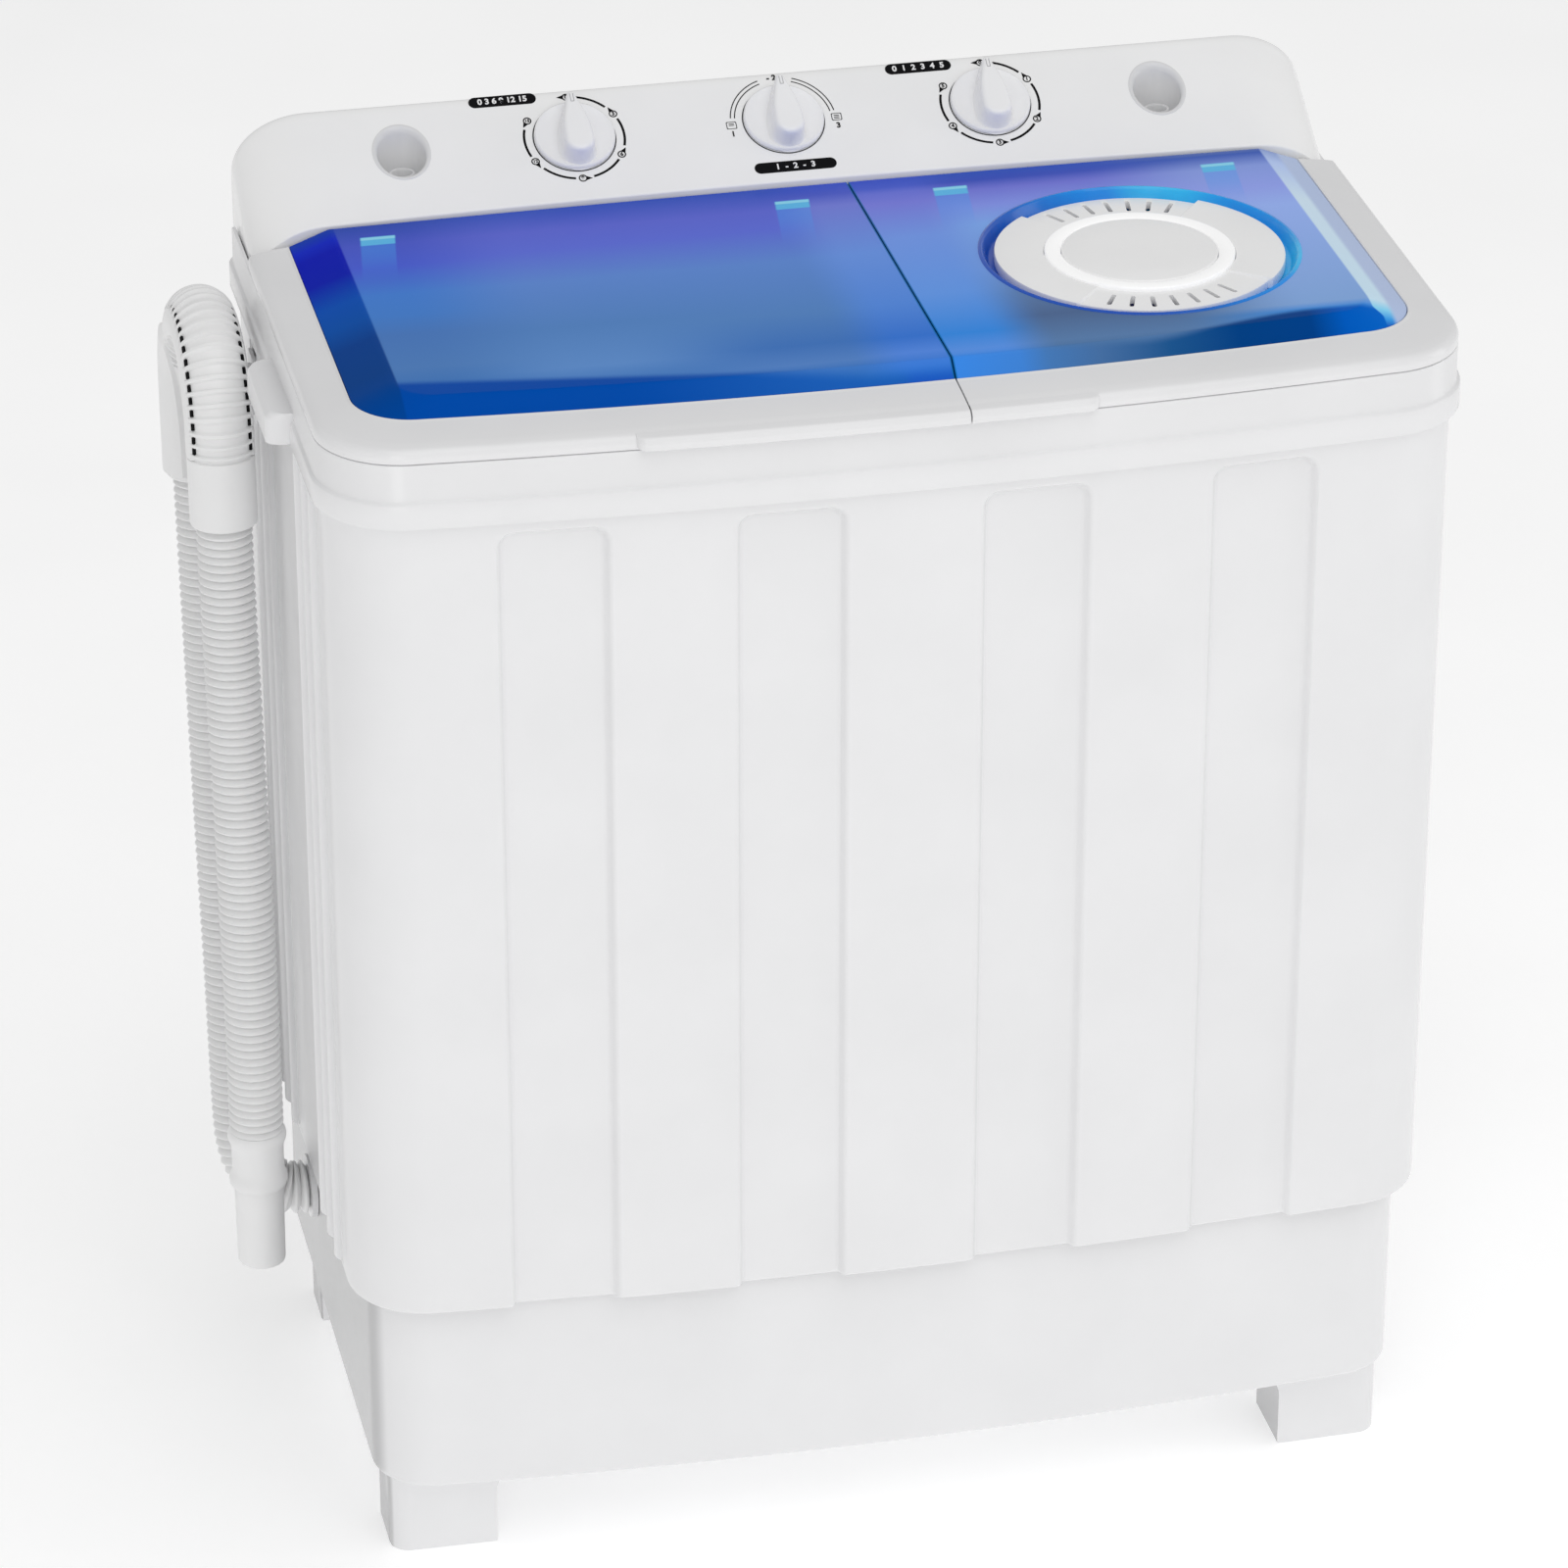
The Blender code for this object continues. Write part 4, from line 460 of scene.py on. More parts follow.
def make_materials():
    white = srgb(238, 238, 239)
    return {
        "white": plastic("cabinet_plastic", white, 0.2),
        "base": base_plastic("base_plastic", white, 0.2),
        "lid": plastic("lid_plastic", srgb(236, 236, 237), 0.18),
        "console": plastic("console_plastic", srgb(250, 250, 250), 0.22),
        "knob": plastic("knob_plastic", srgb(248, 248, 249), 0.22),
        "hose": plastic("hose_plastic", srgb(242, 242, 242), 0.34),
        # painted light: the ring glows a little, to look brighter than its white
        "ring": plastic("vent_ring_glowing_plastic", srgb(254, 254, 254), 0.2, glow=0.18),
        "cap": plastic("vent_cap_plastic", srgb(252, 252, 252), 0.3),
        "disc": plastic("vent_disc_plastic", srgb(253, 253, 253), 0.22),
        # painted shade: the inlet cups take a greyer white than the console, for the shade inside them
        "cup": plastic("inlet_cup_shaded_plastic", srgb(226, 226, 227), 0.24),
        "tub": plastic("tub_plastic", srgb(226, 231, 236), 0.3, 700.0),
        "grey": plastic("inner_grey_plastic", srgb(150, 150, 152), 0.45, 400.0, 0.08),
        # black for print, and painted shade in the hook's slots
        "print": plastic("print_and_shade_black", srgb(16, 16, 18), 0.55, 300.0, 0.1, 0.06),
        "print_white": plastic("print_white", srgb(245, 245, 245), 0.4, 300.0, 0.02),
        # painted shade: dark for the gaps round the knobs and the slots in the back screws
        "gap": plastic("shadow_gap", srgb(60, 60, 62), 0.6, 300.0, 0.1, 0.1),
        # painted shade: grey for the edges of the knobs' pointer grooves
        "mark": plastic("pointer_groove_shade", srgb(188, 188, 190), 0.4, 300.0, 0.05),
        "blue": dish("dish_blue_painted_light"),
        "well": plastic("well_blue", srgb(4, 54, 150), 0.3, 300.0, 0.1, 0.1),
        "agitator": plastic("agitator_blue", srgb(40, 100, 190), 0.3, 500.0, 0.06),
        "left": tinted("wash_lid_tint_and_light", "wash", wash_tint, wash_bevel),
        "right": tinted("spin_lid_tint_and_light", "spin", spin_tint, spin_bevel),
        "rubber": rubber("black_rubber", srgb(38, 38, 38), 0.62),
        "steel": metal("plated_steel", srgb(205, 205, 202), 0.3),
        "basket": metal("basket_steel", srgb(232, 234, 236), 0.36, 0.55),
        "motor": painted("motor_paint", srgb(120, 124, 130), 0.42),
    }


# ---- mesh code


class Solid:
    """Vertices and faces gathered for one object."""

    def __init__(self):
        self.verts = []
        self.faces = []

    def rows(self, rows, ring=False):
        """Quads through loops of equal count; the ends are capped, or joined to each other as a ring."""
        count = len(rows[0])
        base = len(self.verts)
        for row in rows:
            self.verts.extend(tuple(float(c) for c in p) for p in row)
        total = len(rows)
        for r in range(total if ring else total - 1):
            low = base + r * count
            high = base + ((r + 1) % total) * count
            for i in range(count):
                j = (i + 1) % count
                self.faces.append((low + i, low + j, high + j, high + i))
        if not ring:
            self.faces.append(tuple(range(base + count - 1, base - 1, -1)))
            last = base + (total - 1) * count
            self.faces.append(tuple(range(last, last + count)))
        return self

    def prism(self, outline, matrix, low, high):
        """A flat outline made into a thin slab in a frame of its own."""
        return self.rows([on(matrix, outline, h) for h in (low, high)])

    def box(self, x, y, z):
        """An upright box between two ends in each direction."""
        corners = [(x[0], y[0]), (x[1], y[0]), (x[1], y[1]), (x[0], y[1])]
        return self.rows([lift(corners, h) for h in z])

    def build(self, name, mat, sharp=35.0, smooth=True):
        mesh = bpy.data.meshes.new(name)
        mesh.from_pydata(self.verts, [], self.faces)
        bm = bmesh.new()
        bm.from_mesh(mesh)
        bmesh.ops.remove_doubles(bm, verts=bm.verts, dist=1e-7)
        bmesh.ops.dissolve_degenerate(bm, edges=bm.edges, dist=1e-7)
        bmesh.ops.recalc_face_normals(bm, faces=bm.faces)
        bm.to_mesh(mesh)
        bm.free()
        if mat is not None:
            mesh.materials.append(mat)
        if smooth:
            mesh.shade_smooth()
            mesh.set_sharp_from_angle(angle=math.radians(sharp))
        return shown(name, mesh)

    def piece(self, name, mat, tie, *nodes, sharp=35.0, smooth=True):
        return put(self.build(name, mat, sharp, smooth), tie, *nodes)


def put(obj, tie, *nodes):
    """Ties a finished piece to its body, and hides the CAD nodes it stands for."""
    body, slot = tie
    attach(obj, body)
    if nodes:
        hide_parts(*nodes)
    return obj


def circle(cx, cy, r, count=64):
    a = 2 * math.pi * np.arange(count) / count
    return np.stack([cx + r * np.cos(a), cy + r * np.sin(a)], 1)


def lift(outline, z):
    return [(p[0], p[1], z) for p in outline]


def toward(row, share):
    """A loop pulled a little towards its middle: it keeps the shading of a flat cap even."""
    points = np.array([tuple(p) for p in row], float)
    middle = points.mean(0)
    return points + (middle - points) * share


def rounded(cx, cy, hx, hy, r, steps=12):
    points = []
    for sx, sy, first in ((1, 1, 0), (-1, 1, 90), (-1, -1, 180), (1, -1, 270)):
        for i in range(steps + 1):
            a = math.radians(first + 90 * i / steps)
            points.append((cx + sx * (hx - r) + r * math.cos(a), cy + sy * (hy - r) + r * math.sin(a)))
    return points


def shown(name, mesh):
    obj = bpy.data.objects.new(name, mesh)
    bpy.context.scene.collection.objects.link(obj)
    return obj


def baked(obj):
    """A new mesh of an object as its modifiers and curves leave it."""
    graph = bpy.context.evaluated_depsgraph_get()
    return bpy.data.meshes.new_from_object(obj.evaluated_get(graph))


def cut(obj, solid, smooth=True):
    """Cuts a solid's shape out of an object for good."""
    cutter = solid.build("cutter", None, smooth=smooth)
    step = obj.modifiers.new("cut", "BOOLEAN")
    step.operation = "DIFFERENCE"
    step.solver = "EXACT"
    step.object = cutter
    mesh = baked(obj)
    obj.modifiers.clear()
    obj.data = mesh
    bpy.data.objects.remove(cutter, do_unlink=True)
    mesh.set_sharp_from_angle(angle=math.radians(30))


def polar(r, a):
    return r * math.cos(a), r * math.sin(a)


def on(spot, outline, h=0.0):
    """An outline at a height in a frame of its own."""
    return [spot @ Vector((x, y, h)) for x, y in outline]


def spun(centre, angle, height=0.0):
    """A frame at a place in plan, turned about the upright."""
    return Matrix.Translation((*centre, height)) @ Matrix.Rotation(angle, 4, "Z")


def dome(share):
    """The height of a quarter round: 0 at the rim and 1 from a share of 1 inwards."""
    share = min(share, 1.0)
    return math.sqrt(max(0.0, share * (2 - share)))


def offsets(loop, profile):
    """Loops from a profile of outset and height, where `loop` gives the outline at an outset."""
    return [lift(loop(out), z) for out, z in profile]


def walk(points):
    """The distance along a line at each of its points."""
    return [0.0, *itertools.accumulate((q - p).length for p, q in zip(points, points[1:]))]


def turned(name, profile, mat, centre, tie, *nodes, count=128, ring=False):
    rows = offsets(lambda r: circle(*centre, r, count), profile)
    return Solid().rows(rows, ring).piece(name, mat, tie, *nodes)


def fillet(corners, radii, steps):
    """An open line through flat corners, with each corner rounded by its own radius."""
    points = [Vector((*c, 0)) for c in corners]
    out = [points[0]]
    for a, b, c, radius in zip(points, points[1:], points[2:], radii[1:]):
        to_a, to_c = (a - b), (c - b)
        reach = radius / math.tan(to_a.angle(to_c) / 2)
        reach = min(reach, 0.45 * to_a.length, 0.45 * to_c.length)
        if reach <= 1e-6:
            out.append(b)
            continue
        start, end = b + to_a.normalized() * reach, b + to_c.normalized() * reach
        for k in range(steps + 1):
            t = k / steps
            out.append(start * (1 - t) ** 2 + b * 2 * t * (1 - t) + end * t**2)
    out.append(points[-1])
    return out


# ---- cabinet, base and back


def plan_columns(front_xs, side_ys):
    """The plan's stations, from the rear left corner round the front to the rear right corner."""
    arc = 14
    half_way = [("rear", 15 * i) for i in range(7)]
    half_way += [("side", y) for y in sorted(side_ys, reverse=True)]
    half_way += [("corner", 90 * i / arc) for i in range(arc + 1)]
    left = [(kind, -1, v) for kind, v in half_way]
    right = [(kind, 1, v) for kind, v in reversed(half_way)]
    return left + [("front", 0, x) for x in sorted(front_xs)] + right


def front_line(x, out):
    return FRONT_Y - out - BOW * (1 - (x / (HALF + out)) ** 2)


def plan_point(column, out, push=0.0):
    """A station's place in plan: the cabinet's outline moved out, and pushed square to the wall."""
    kind, side, value = column
    half = HALF + out
    r = FRONT_R + out
    flat = half - r
    if kind == "rear":
        rear_r = max(REAR_R + out, 0.004)
        y, x = polar(rear_r, math.radians(value))
        return side * (half - rear_r + x), REAR_Y + out - rear_r + y
    if kind == "side":
        return side * (half + push), value
    if kind == "corner":
        x, y = polar(r, math.radians(value))
        return side * (flat + x), front_line(flat, out) + r - y
    return value, front_line(value, out) + push


def even(low, high, count):
    return [low + (high - low) * i / (count - 1) for i in range(count)]


PLAIN = plan_columns(even(-0.3, 0.3, 49), even(-0.125, 0.185, 20))


def plain_row(out, z):
    return [(*plan_point(c, out), z) for c in PLAIN]


def recess_depth(x, z):
    depth = 0.0
    for centre in RECESSES:
        px = abs(x - centre) - (RECESS_HALF - RECESS_R)
        pz = z - (RECESS_TOP - RECESS_R)
        d = math.hypot(max(px, 0), max(pz, 0)) + min(max(px, pz), 0) - RECESS_R
        t = min(max(-d / RECESS_STEP, 0.0), 1.0)
        depth = max(depth, RECESS_DEPTH * t * t * (3 - 2 * t))
    return depth


def rib_height(y, z):
    """A side rib's height: round across, with a groove along both sides and a rounded end."""
    end = min(z - RIB_Z[0], RIB_Z[1] - z) / 0.004
    for centre in RIBS:
        t = abs(y - centre) / RIB_HALF
        if t < 1:
            return RIB_HEIGHT * math.sqrt(1 - t * t) * dome(end)
        if t < 1.8:
            return -0.0014 * math.sin(math.pi * (t - 1) / 0.8) * min(max(end, 0.0), 1.0)
    return 0.0


def make_cabinet(m):
    xs = set(round(x, 5) for x in even(-0.3, 0.3, 41))
    for centre in RECESSES:
        for edge in (centre - RECESS_HALF, centre + RECESS_HALF):
            xs.update(round(edge + 0.0012 * k, 5) for k in range(-11, 12))
    ys = set(round(y, 5) for y in even(-0.125, 0.185, 14))
    for centre in RIBS:
        for share in (0, 0.35, 0.7, 0.93, 1, 1.4, 1.8):
            ys.update(round(centre + side * RIB_HALF * share, 5) for side in (-1, 1))
    columns = plan_columns(xs, ys)
    zs = [0.2003, 0.201, 0.202, 0.2035, 0.205, 0.26, 0.35, 0.45, 0.55, 0.65, 0.71]
    zs += even(0.733, 0.749, 17) + [0.7496, 0.75, 0.753, CAB_TOP]

    def row(out, z, wall=False):
        line = []
        for c in columns:
            push = recess_depth(c[2], z) if c[0] == "front" else 0.0
            if c[0] == "side" and not wall:
                push = rib_height(c[2], z)
            line.append((*plan_point(c, out, push), z))
        return line

    edge = ((-0.002, 0.0), (-0.001, 0.0004), (-0.0003, 0.0012), (0.0, 0.0025))
    rows = [row(out, CAB_LOW + rise) for out, rise in edge] + [row(0.0, z) for z in zs]
    rows += [row(-WALL, z, True) for z in (CAB_TOP, 0.745, 0.735, CAB_LOW + 0.0005)]
    Solid().rows(rows, ring=True).piece("cabinet_wall", m["white"], CABINET, "cabinet_shell", sharp=40)


def make_base(m):
    low = FOOT_TOP
    outer = [(0.0, BASE_TOP), (0.0, low + 0.006)]
    for i in range(1, 7):
        x, y = polar(0.004, math.radians(15 * i))
        outer.append((x - 0.004, low + 0.004 - y))
    rows = [plain_row(BASE_OUT - WALL, z) for z in (low + 0.004, BASE_TOP)]
    rows[0:0] = [toward(rows[0], 0.02)]
    rows += [plain_row(BASE_OUT + out, z) for out, z in outer]
    rows.append(toward(rows[-1], 0.02))
    Solid().rows(rows).piece("base_body", m["base"], CABINET, "base_frame", sharp=40)
    for depth, front in (("front", True), ("rear", False)):
        for side, name in SIDES:
            make_foot(f"{depth}_{name}", side, front, m)


def make_foot(name, side, front, m):
    """A foot with a swept arch where it meets the base, and rounded corners."""
    outer, inner, top, arch = 0.3345, 0.265, FOOT_TOP, 0.019
    profile = [(outer, 0.0008), (outer, top + 0.003)]
    for i in range(9):
        x, z = polar(arch, math.radians(90 - 90 * i / 8))
        profile.append((inner - arch + x, top + 0.0005 - arch + z))
    profile += [(inner, 0.0008), (inner + 0.0008, 0.0), (outer - 0.0008, 0.0)]
    front_y, depth, corner = -0.158, 0.049, 0.013
    stations = []
    for angle in (3, 12, 25, 40, 55, 70, 90):
        x, y = polar(corner, math.radians(angle))
        stations.append((corner - x, corner - y))
    stations += [(depth - 0.002, 0.0), (depth, 0.001)]
    rows = []
    for along, inset in stations:
        line = []
        for x, z in profile:
            x = min(x, outer - inset)
            y = front_y + along - (0.02 * (outer - x) if along < corner * 1.1 else 0.0)
            line.append((side * x, y if front else 0.022 - y, z))
        rows.append(line)
    Solid().rows(rows).piece(f"foot_pad_{name}", m["base"], CABINET, f"foot_{name}", sharp=40)


def make_back(m):
    """The back cover: a plate with rounded corners, swaged ribs and screws."""
    # in this frame X runs left to right, Y runs up and Z runs towards the front
    turn = Matrix.Translation((0, REAR_Y + 0.0004, 0.49)) @ Matrix.Rotation(math.radians(90), 4, "X")
    solid = Solid()
    plate = ((0.0, 0.0), (0.0, -0.0016), (0.0006, -0.0022), (0.004, -0.0024))
    solid.rows([on(turn, rounded(0, 0, 0.315 - inset, 0.245 - inset, 0.012, 6), h) for inset, h in plate])
    rib = ((-0.002, -0.002), (0.0, -0.003), (0.0015, -0.0038), (0.004, -0.0042))
    for i in range(6):
        rows = []
        for inset, h in rib:
            radius = 0.0055 - max(inset, 0) * 0.5
            rows.append(on(turn, rounded(0.1 * i - 0.25, 0, 0.01 - inset, 0.19 - inset, radius, 6), h))
        solid.rows(rows)
    solid.piece("back_plate", m["white"], CABINET, "back_cover", sharp=40)
    heads, slots = Solid(), Solid()
    head = ((0.0048, -0.002), (0.0048, -0.003), (0.0036, -0.004), (0.0015, -0.0045))
    for x in (-0.3, 0.0, 0.3):
        for z in (-0.228, 0.0, 0.228):
            if x == z == 0.0:
                continue
            spot = turn @ Matrix.Translation((x, z, 0))
            heads.rows([on(spot, circle(0, 0, r, 20), h) for r, h in head])
            # dark bars stand for the cross slots in each head: painted shade
            for wide, tall in ((0.003, 0.0005), (0.0005, 0.003)):
                slots.prism([(wide * u, tall * v) for u, v in SQUARE], spot, -0.0047, -0.0036)
    heads.piece("back_screws", m["steel"], ("cabinet", "zinc_steel"))
    slots.piece("back_screw_slots", m["gap"], PRINT_AND_SHADE, smooth=False)


# ---- top frame


def make_top_frame(m):
    section = (
        (0.0004, DECK - 0.003), (0.0004, SKIRT_LOW + 0.0004), (0.0008, SKIRT_LOW), (0.005, SKIRT_LOW),
        (0.0057, SKIRT_LOW + 0.0003), (0.006, SKIRT_LOW + 0.001), (0.006, SKIRT_STEP - 0.0014),
        (0.0056, SKIRT_STEP - 0.0004), (0.0048, SKIRT_STEP + 0.0002), (0.004, SKIRT_STEP + 0.0007),
        (0.0035, SKIRT_STEP + 0.0016), (0.0035, SPLIT - 0.001), (0.0032, SPLIT - 0.0003), (0.0026, SPLIT),
        (0.0014, SPLIT), (0.001, SPLIT - 0.0004), (0.001, DECK - 0.003),
    )
    # behind the notch the rim drops to the deck, to pass below the console
    notch = 0.19
    columns = plan_columns(even(-0.3, 0.3, 61), even(-0.125, notch - 0.0002, 20) + [notch + 0.0001])
    rows = []
    for out, z in section:
        line = []
        for c in columns:
            low = c[0] == "rear" or (c[0] == "side" and c[2] > notch)
            line.append((*plan_point(c, out), min(z, DECK - 0.0006) if low else z))
        rows.append(line)
    Solid().rows(rows, ring=True).piece("top_rim", m["white"], CABINET, "top_frame", sharp=40)

    def wash_hole(out):
        return rounded(*WASH, 0.14 + out, 0.13 + out, 0.048 + out, 14)

    def spin_hole(out):
        return circle(*SPIN, 0.118 + out, 96)

    plate = [plain_row(0.0009, z) for z in (DECK - 0.003, DECK)]
    deck = Solid().rows(plate).build("top_deck", m["white"])
    lip = ((0.0, -0.003), (0.0, 0.001), (0.001, 0.002), (0.003, 0.002), (0.0042, 0.0012), (0.0046, -0.0005))
    beads = Solid()
    for hole in (wash_hole, spin_hole):
        cut(deck, Solid().rows(offsets(hole, ((0.0, DECK - 0.019), (0.0, DECK + 0.021)))))
        beads.rows(offsets(hole, [(out, DECK + rise) for out, rise in lip]), ring=True)
    put(deck, CABINET)
    # a shoulder behind each lid's outer rear corner closes the space below the console's end
    shoulder = (
        (LID_REAR + 0.0014, DECK - 0.001), (0.15, DECK - 0.001), (0.15, 0.7965), (0.149, 0.7972),
        (LID_REAR + 0.0022, 0.7972), (LID_REAR + 0.0014, 0.7966),
    )
    for side, _ in SIDES:
        beads.rows([[(side * x, y, z) for y, z in shoulder] for x in (0.318, HALF - 0.0006)])
    for x in HINGES["wash"] + HINGES["spin"]:
        rows = []
        for half, inset in ((-0.01, 0.001), (-0.009, 0.0), (0.009, 0.0), (0.01, 0.001)):
            low_y, high_y, top = HINGE_Y - 0.007 + inset, HINGE_Y + 0.0025 - inset, HINGE_Z - 0.0046 - inset
            outline = [(low_y, DECK - 0.001), (high_y, DECK - 0.001), (high_y, top - 0.001)]
            outline += [(high_y - 0.001, top), (low_y + 0.001, top), (low_y, top - 0.001)]
            rows.append([(x + half, py, pz) for py, pz in outline])
        beads.rows(rows)
    beads.piece("deck_lips", m["white"], CABINET, sharp=40)
    for side, name in SIDES:
        make_grip(name, side, m)


def make_grip(name, side, m):
    """A hand grip: a ledge that stands out from the side, turned down at its outer edge."""
    y0, y1, out = -0.06, 0.024, 0.3755
    inner = HALF + 0.0032
    low, high, wall = 0.7552, 0.7762, 0.0026
    count = 24
    rows = []
    for i in range(count + 1):
        # the stations are bunched at the ends, where the corners are rounded
        y = y0 + (y1 - y0) * (0.5 - 0.5 * math.cos(math.pi * i / count))
        end = min(y - y0, y1 - y) / 0.006
        far = inner + (out - inner) * (0.3 + 0.7 * dome(end))
        corners = [(inner, high - 0.0015), (far - 0.004, high), (far, high - 0.004), (far, low)]
        if end < 0.22:
            skin, x_in = far - 0.0006, inner + 0.0005
            corners += [(skin, low), (skin, low + 0.0002), (x_in, low + 0.0002), (inner, low)]
        else:
            skin, x_in, roof = far - wall, inner + 0.003, high - wall - 0.001
            corners += [(skin, low), (skin, roof), (x_in, roof), (inner, roof - 0.001)]
        line = fillet(corners, (0, 0.003, 0.003, 0.0008, 0.0008, 0.001, 0, 0), 3)
        rows.append([(side * p.x, y, p.y) for p in line])
    Solid().rows(rows).piece(f"hand_grip_{name}", m["white"], CABINET, sharp=40)


# ---- lids


def bowed(x, edge, half):
    return edge - BOW * (1 - (x / half) ** 2)


def rear_line(x):
    return LID_REAR + REAR_BOW * (1 - (x / HALF) ** 2)


def between(a, b, share):
    return a[0] + (b[0] - a[0]) * share, a[1] + (b[1] - a[1]) * share


def lid_path(seam, side, half, front, radius):
    """A lid's outline in plan, from the seam along the front and round the corner to the rear."""
    spans, arc = 40, 16
    flat = half - radius
    points = []
    for i in range(spans):
        x = seam + (side * flat - seam) * i / spans
        points.append((x, bowed(x, front, half)))
    centre_y = bowed(flat, front, half) + radius
    for i in range(arc + 1):
        y, x = polar(radius, math.radians(90 * i / arc))
        points.append((side * (flat + x), centre_y - y))
    points += [(side * half, y) for y in even(centre_y, HINGE_Y - 0.0005, 12)[1:]]
    points.append((side * half, rear_line(half)))
    return points


def make_lid(body, seam, side, lip_end, m):
    """A lid's white border, with a finger lip along its front edge."""
    half, front = HALF + RIM_OUT, FRONT_Y - RIM_OUT
    outer = lid_path(seam, side, half, front, FRONT_R + RIM_OUT)
    inner = lid_path(seam, side, WIN_HALF + 0.0004, WIN_FRONT - 0.0004, WIN_R)
    low = SPLIT + 0.0006
    # each point is a share of the way from the outer edge to the window, and a height
    section = (
        (0.012, low), (0.003, low + 0.0003), (0.0, low + 0.0009), (0.0, 0.7988), (0.006, 0.8004),
        (0.02, 0.8018), (0.042, 0.803), (0.075, 0.804), (0.12, 0.8048), (0.3, 0.8057), (0.6, 0.8067),
        (0.9, 0.8075), (0.955, 0.8077), (0.97, 0.8081), (0.99, 0.8081), (1.0, 0.8077), (1.0, 0.7998),
        (0.93, 0.7998), (0.93, 0.804), (0.16, 0.801), (0.12, low),
    )
    rows = []
    for o, i in zip(outer, inner):
        over = max(0.0, (o[1] - (HINGE_Y - 0.0005)) / (LID_REAR - HINGE_Y))
        lowest = low + 0.0032 * min(over, 1.0)
        rows.append([(*between(o, i, t), max(z, lowest)) for t, z in section])
    solid = Solid().rows(rows)
    low_z, high_z, reach = 0.7958, 0.8047, 0.0055
    count, bunched = 40, 8
    rows = []
    for k in range(count + 1):
        # the stations are bunched at the lip's end, where it is rounded
        at = k if k >= bunched else bunched * (k / bunched) ** 1.6
        x = lip_end + (seam - lip_end) * at / count
        swell = dome(abs(x - lip_end) / 0.007)
        y = bowed(x, front, half)
        out = reach * (0.12 + 0.88 * swell)
        base_z = low_z + 0.0014 * (1 - swell)
        corners = [(0.003, base_z), (-out + 0.0002, base_z), (-out, high_z - 0.0038)]
        corners += [(-out * 0.45, high_z - 0.0006), (0.0035, high_z + 0.0002)]
        line = fillet(corners, (0, 0.0016, 0.0024, 0.003, 0), 4)
        rows.append([(x, y + p.x, p.y) for p in line])
    solid.rows(rows).piece(f"{body}_border", m["lid"], (body, "cabinet_white"), body, sharp=40)


def make_window(body, lid, seam, side, mat):
    """A lid's window: a plateau inside wide bevels, notched for the hinges and holed for the vent."""
    low = EDGE_Z - 0.0026
    outer = lid_path(seam, side, WIN_HALF, WIN_FRONT, WIN_R)
    top = lid_path(seam, side, WIN_HALF - BEVEL_SIDE, WIN_FRONT + BEVEL_FRONT, WIN_R - BEVEL_FRONT)
    rear = [(x, rear_line(x)) for x in even(side * (WIN_HALF - BEVEL_SIDE), seam, 25)[1:]]
    outer, top = outer + rear, top + rear

    def row(share, z):
        return [(*between(o, p, share), z) for o, p in zip(outer, top)]

    # shares of the way up the bevel, and of its rise
    bevel = ((0.0, -0.03), (0.012, 0.02), (0.3, 0.31), (0.6, 0.62), (0.8, 0.83), (0.88, 0.91))
    bevel += ((0.94, 0.965), (0.98, 0.992), (1.0, 1.0))
    under = toward(row(1.0, PLATEAU - SHELL), 0.014)
    rows = [toward(under, 0.01), under, toward(row(0.0, low), 0.014), row(0.0, low)]
    rows += [row(share, EDGE_Z + (PLATEAU - EDGE_Z) * rise) for share, rise in bevel]
    rows.append(toward(rows[-1], 0.01))
    window = Solid().rows(rows).build(f"{body}_tinted_window", mat, 28)
    notches = Solid()
    for x in HINGES[lid]:
        notches.box((x - 0.0115, x + 0.0115), (0.115, 0.13), (0.8015, PLATEAU - SHELL - 0.0002))
    cut(window, notches, smooth=False)
    if lid == "spin":
        cut(window, Solid().rows([lift(circle(*VENT, 0.0998, 128), z) for z in (0.8, 0.83)]))
    put(window, (body, "lid_blue"), f"{body}_window")


def make_hinges(m):
    top = PLATEAU - SHELL - 0.0005
    for lid, xs in HINGES.items():
        for x, (_, name) in zip(xs, SIDES):
            rows = []
            for half, inset in ((-0.013, 0.0008), (-0.0122, 0.0), (0.0122, 0.0), (0.013, 0.0008)):
                front, rear = HINGE_Y - 0.03 + inset, HINGE_Y + 0.003 - inset
                line = [(front, top), (rear, top), (rear, HINGE_Z)]
                for a in range(-60, -181, -12):
                    y, z = polar(0.0042 - inset, math.radians(a))
                    line.append((HINGE_Y + y, HINGE_Z + z))
                line.append((front, top - 0.0034))
                rows.append([(x + half, py, pz) for py, pz in line])
            lug, tie = Solid().rows(rows), (f"{lid}_lid", "tub_white")
            lug.piece(f"{lid}_hinge_lug_{name}", m["tub"], tie, f"{lid}_hinge_{name}", sharp=40)


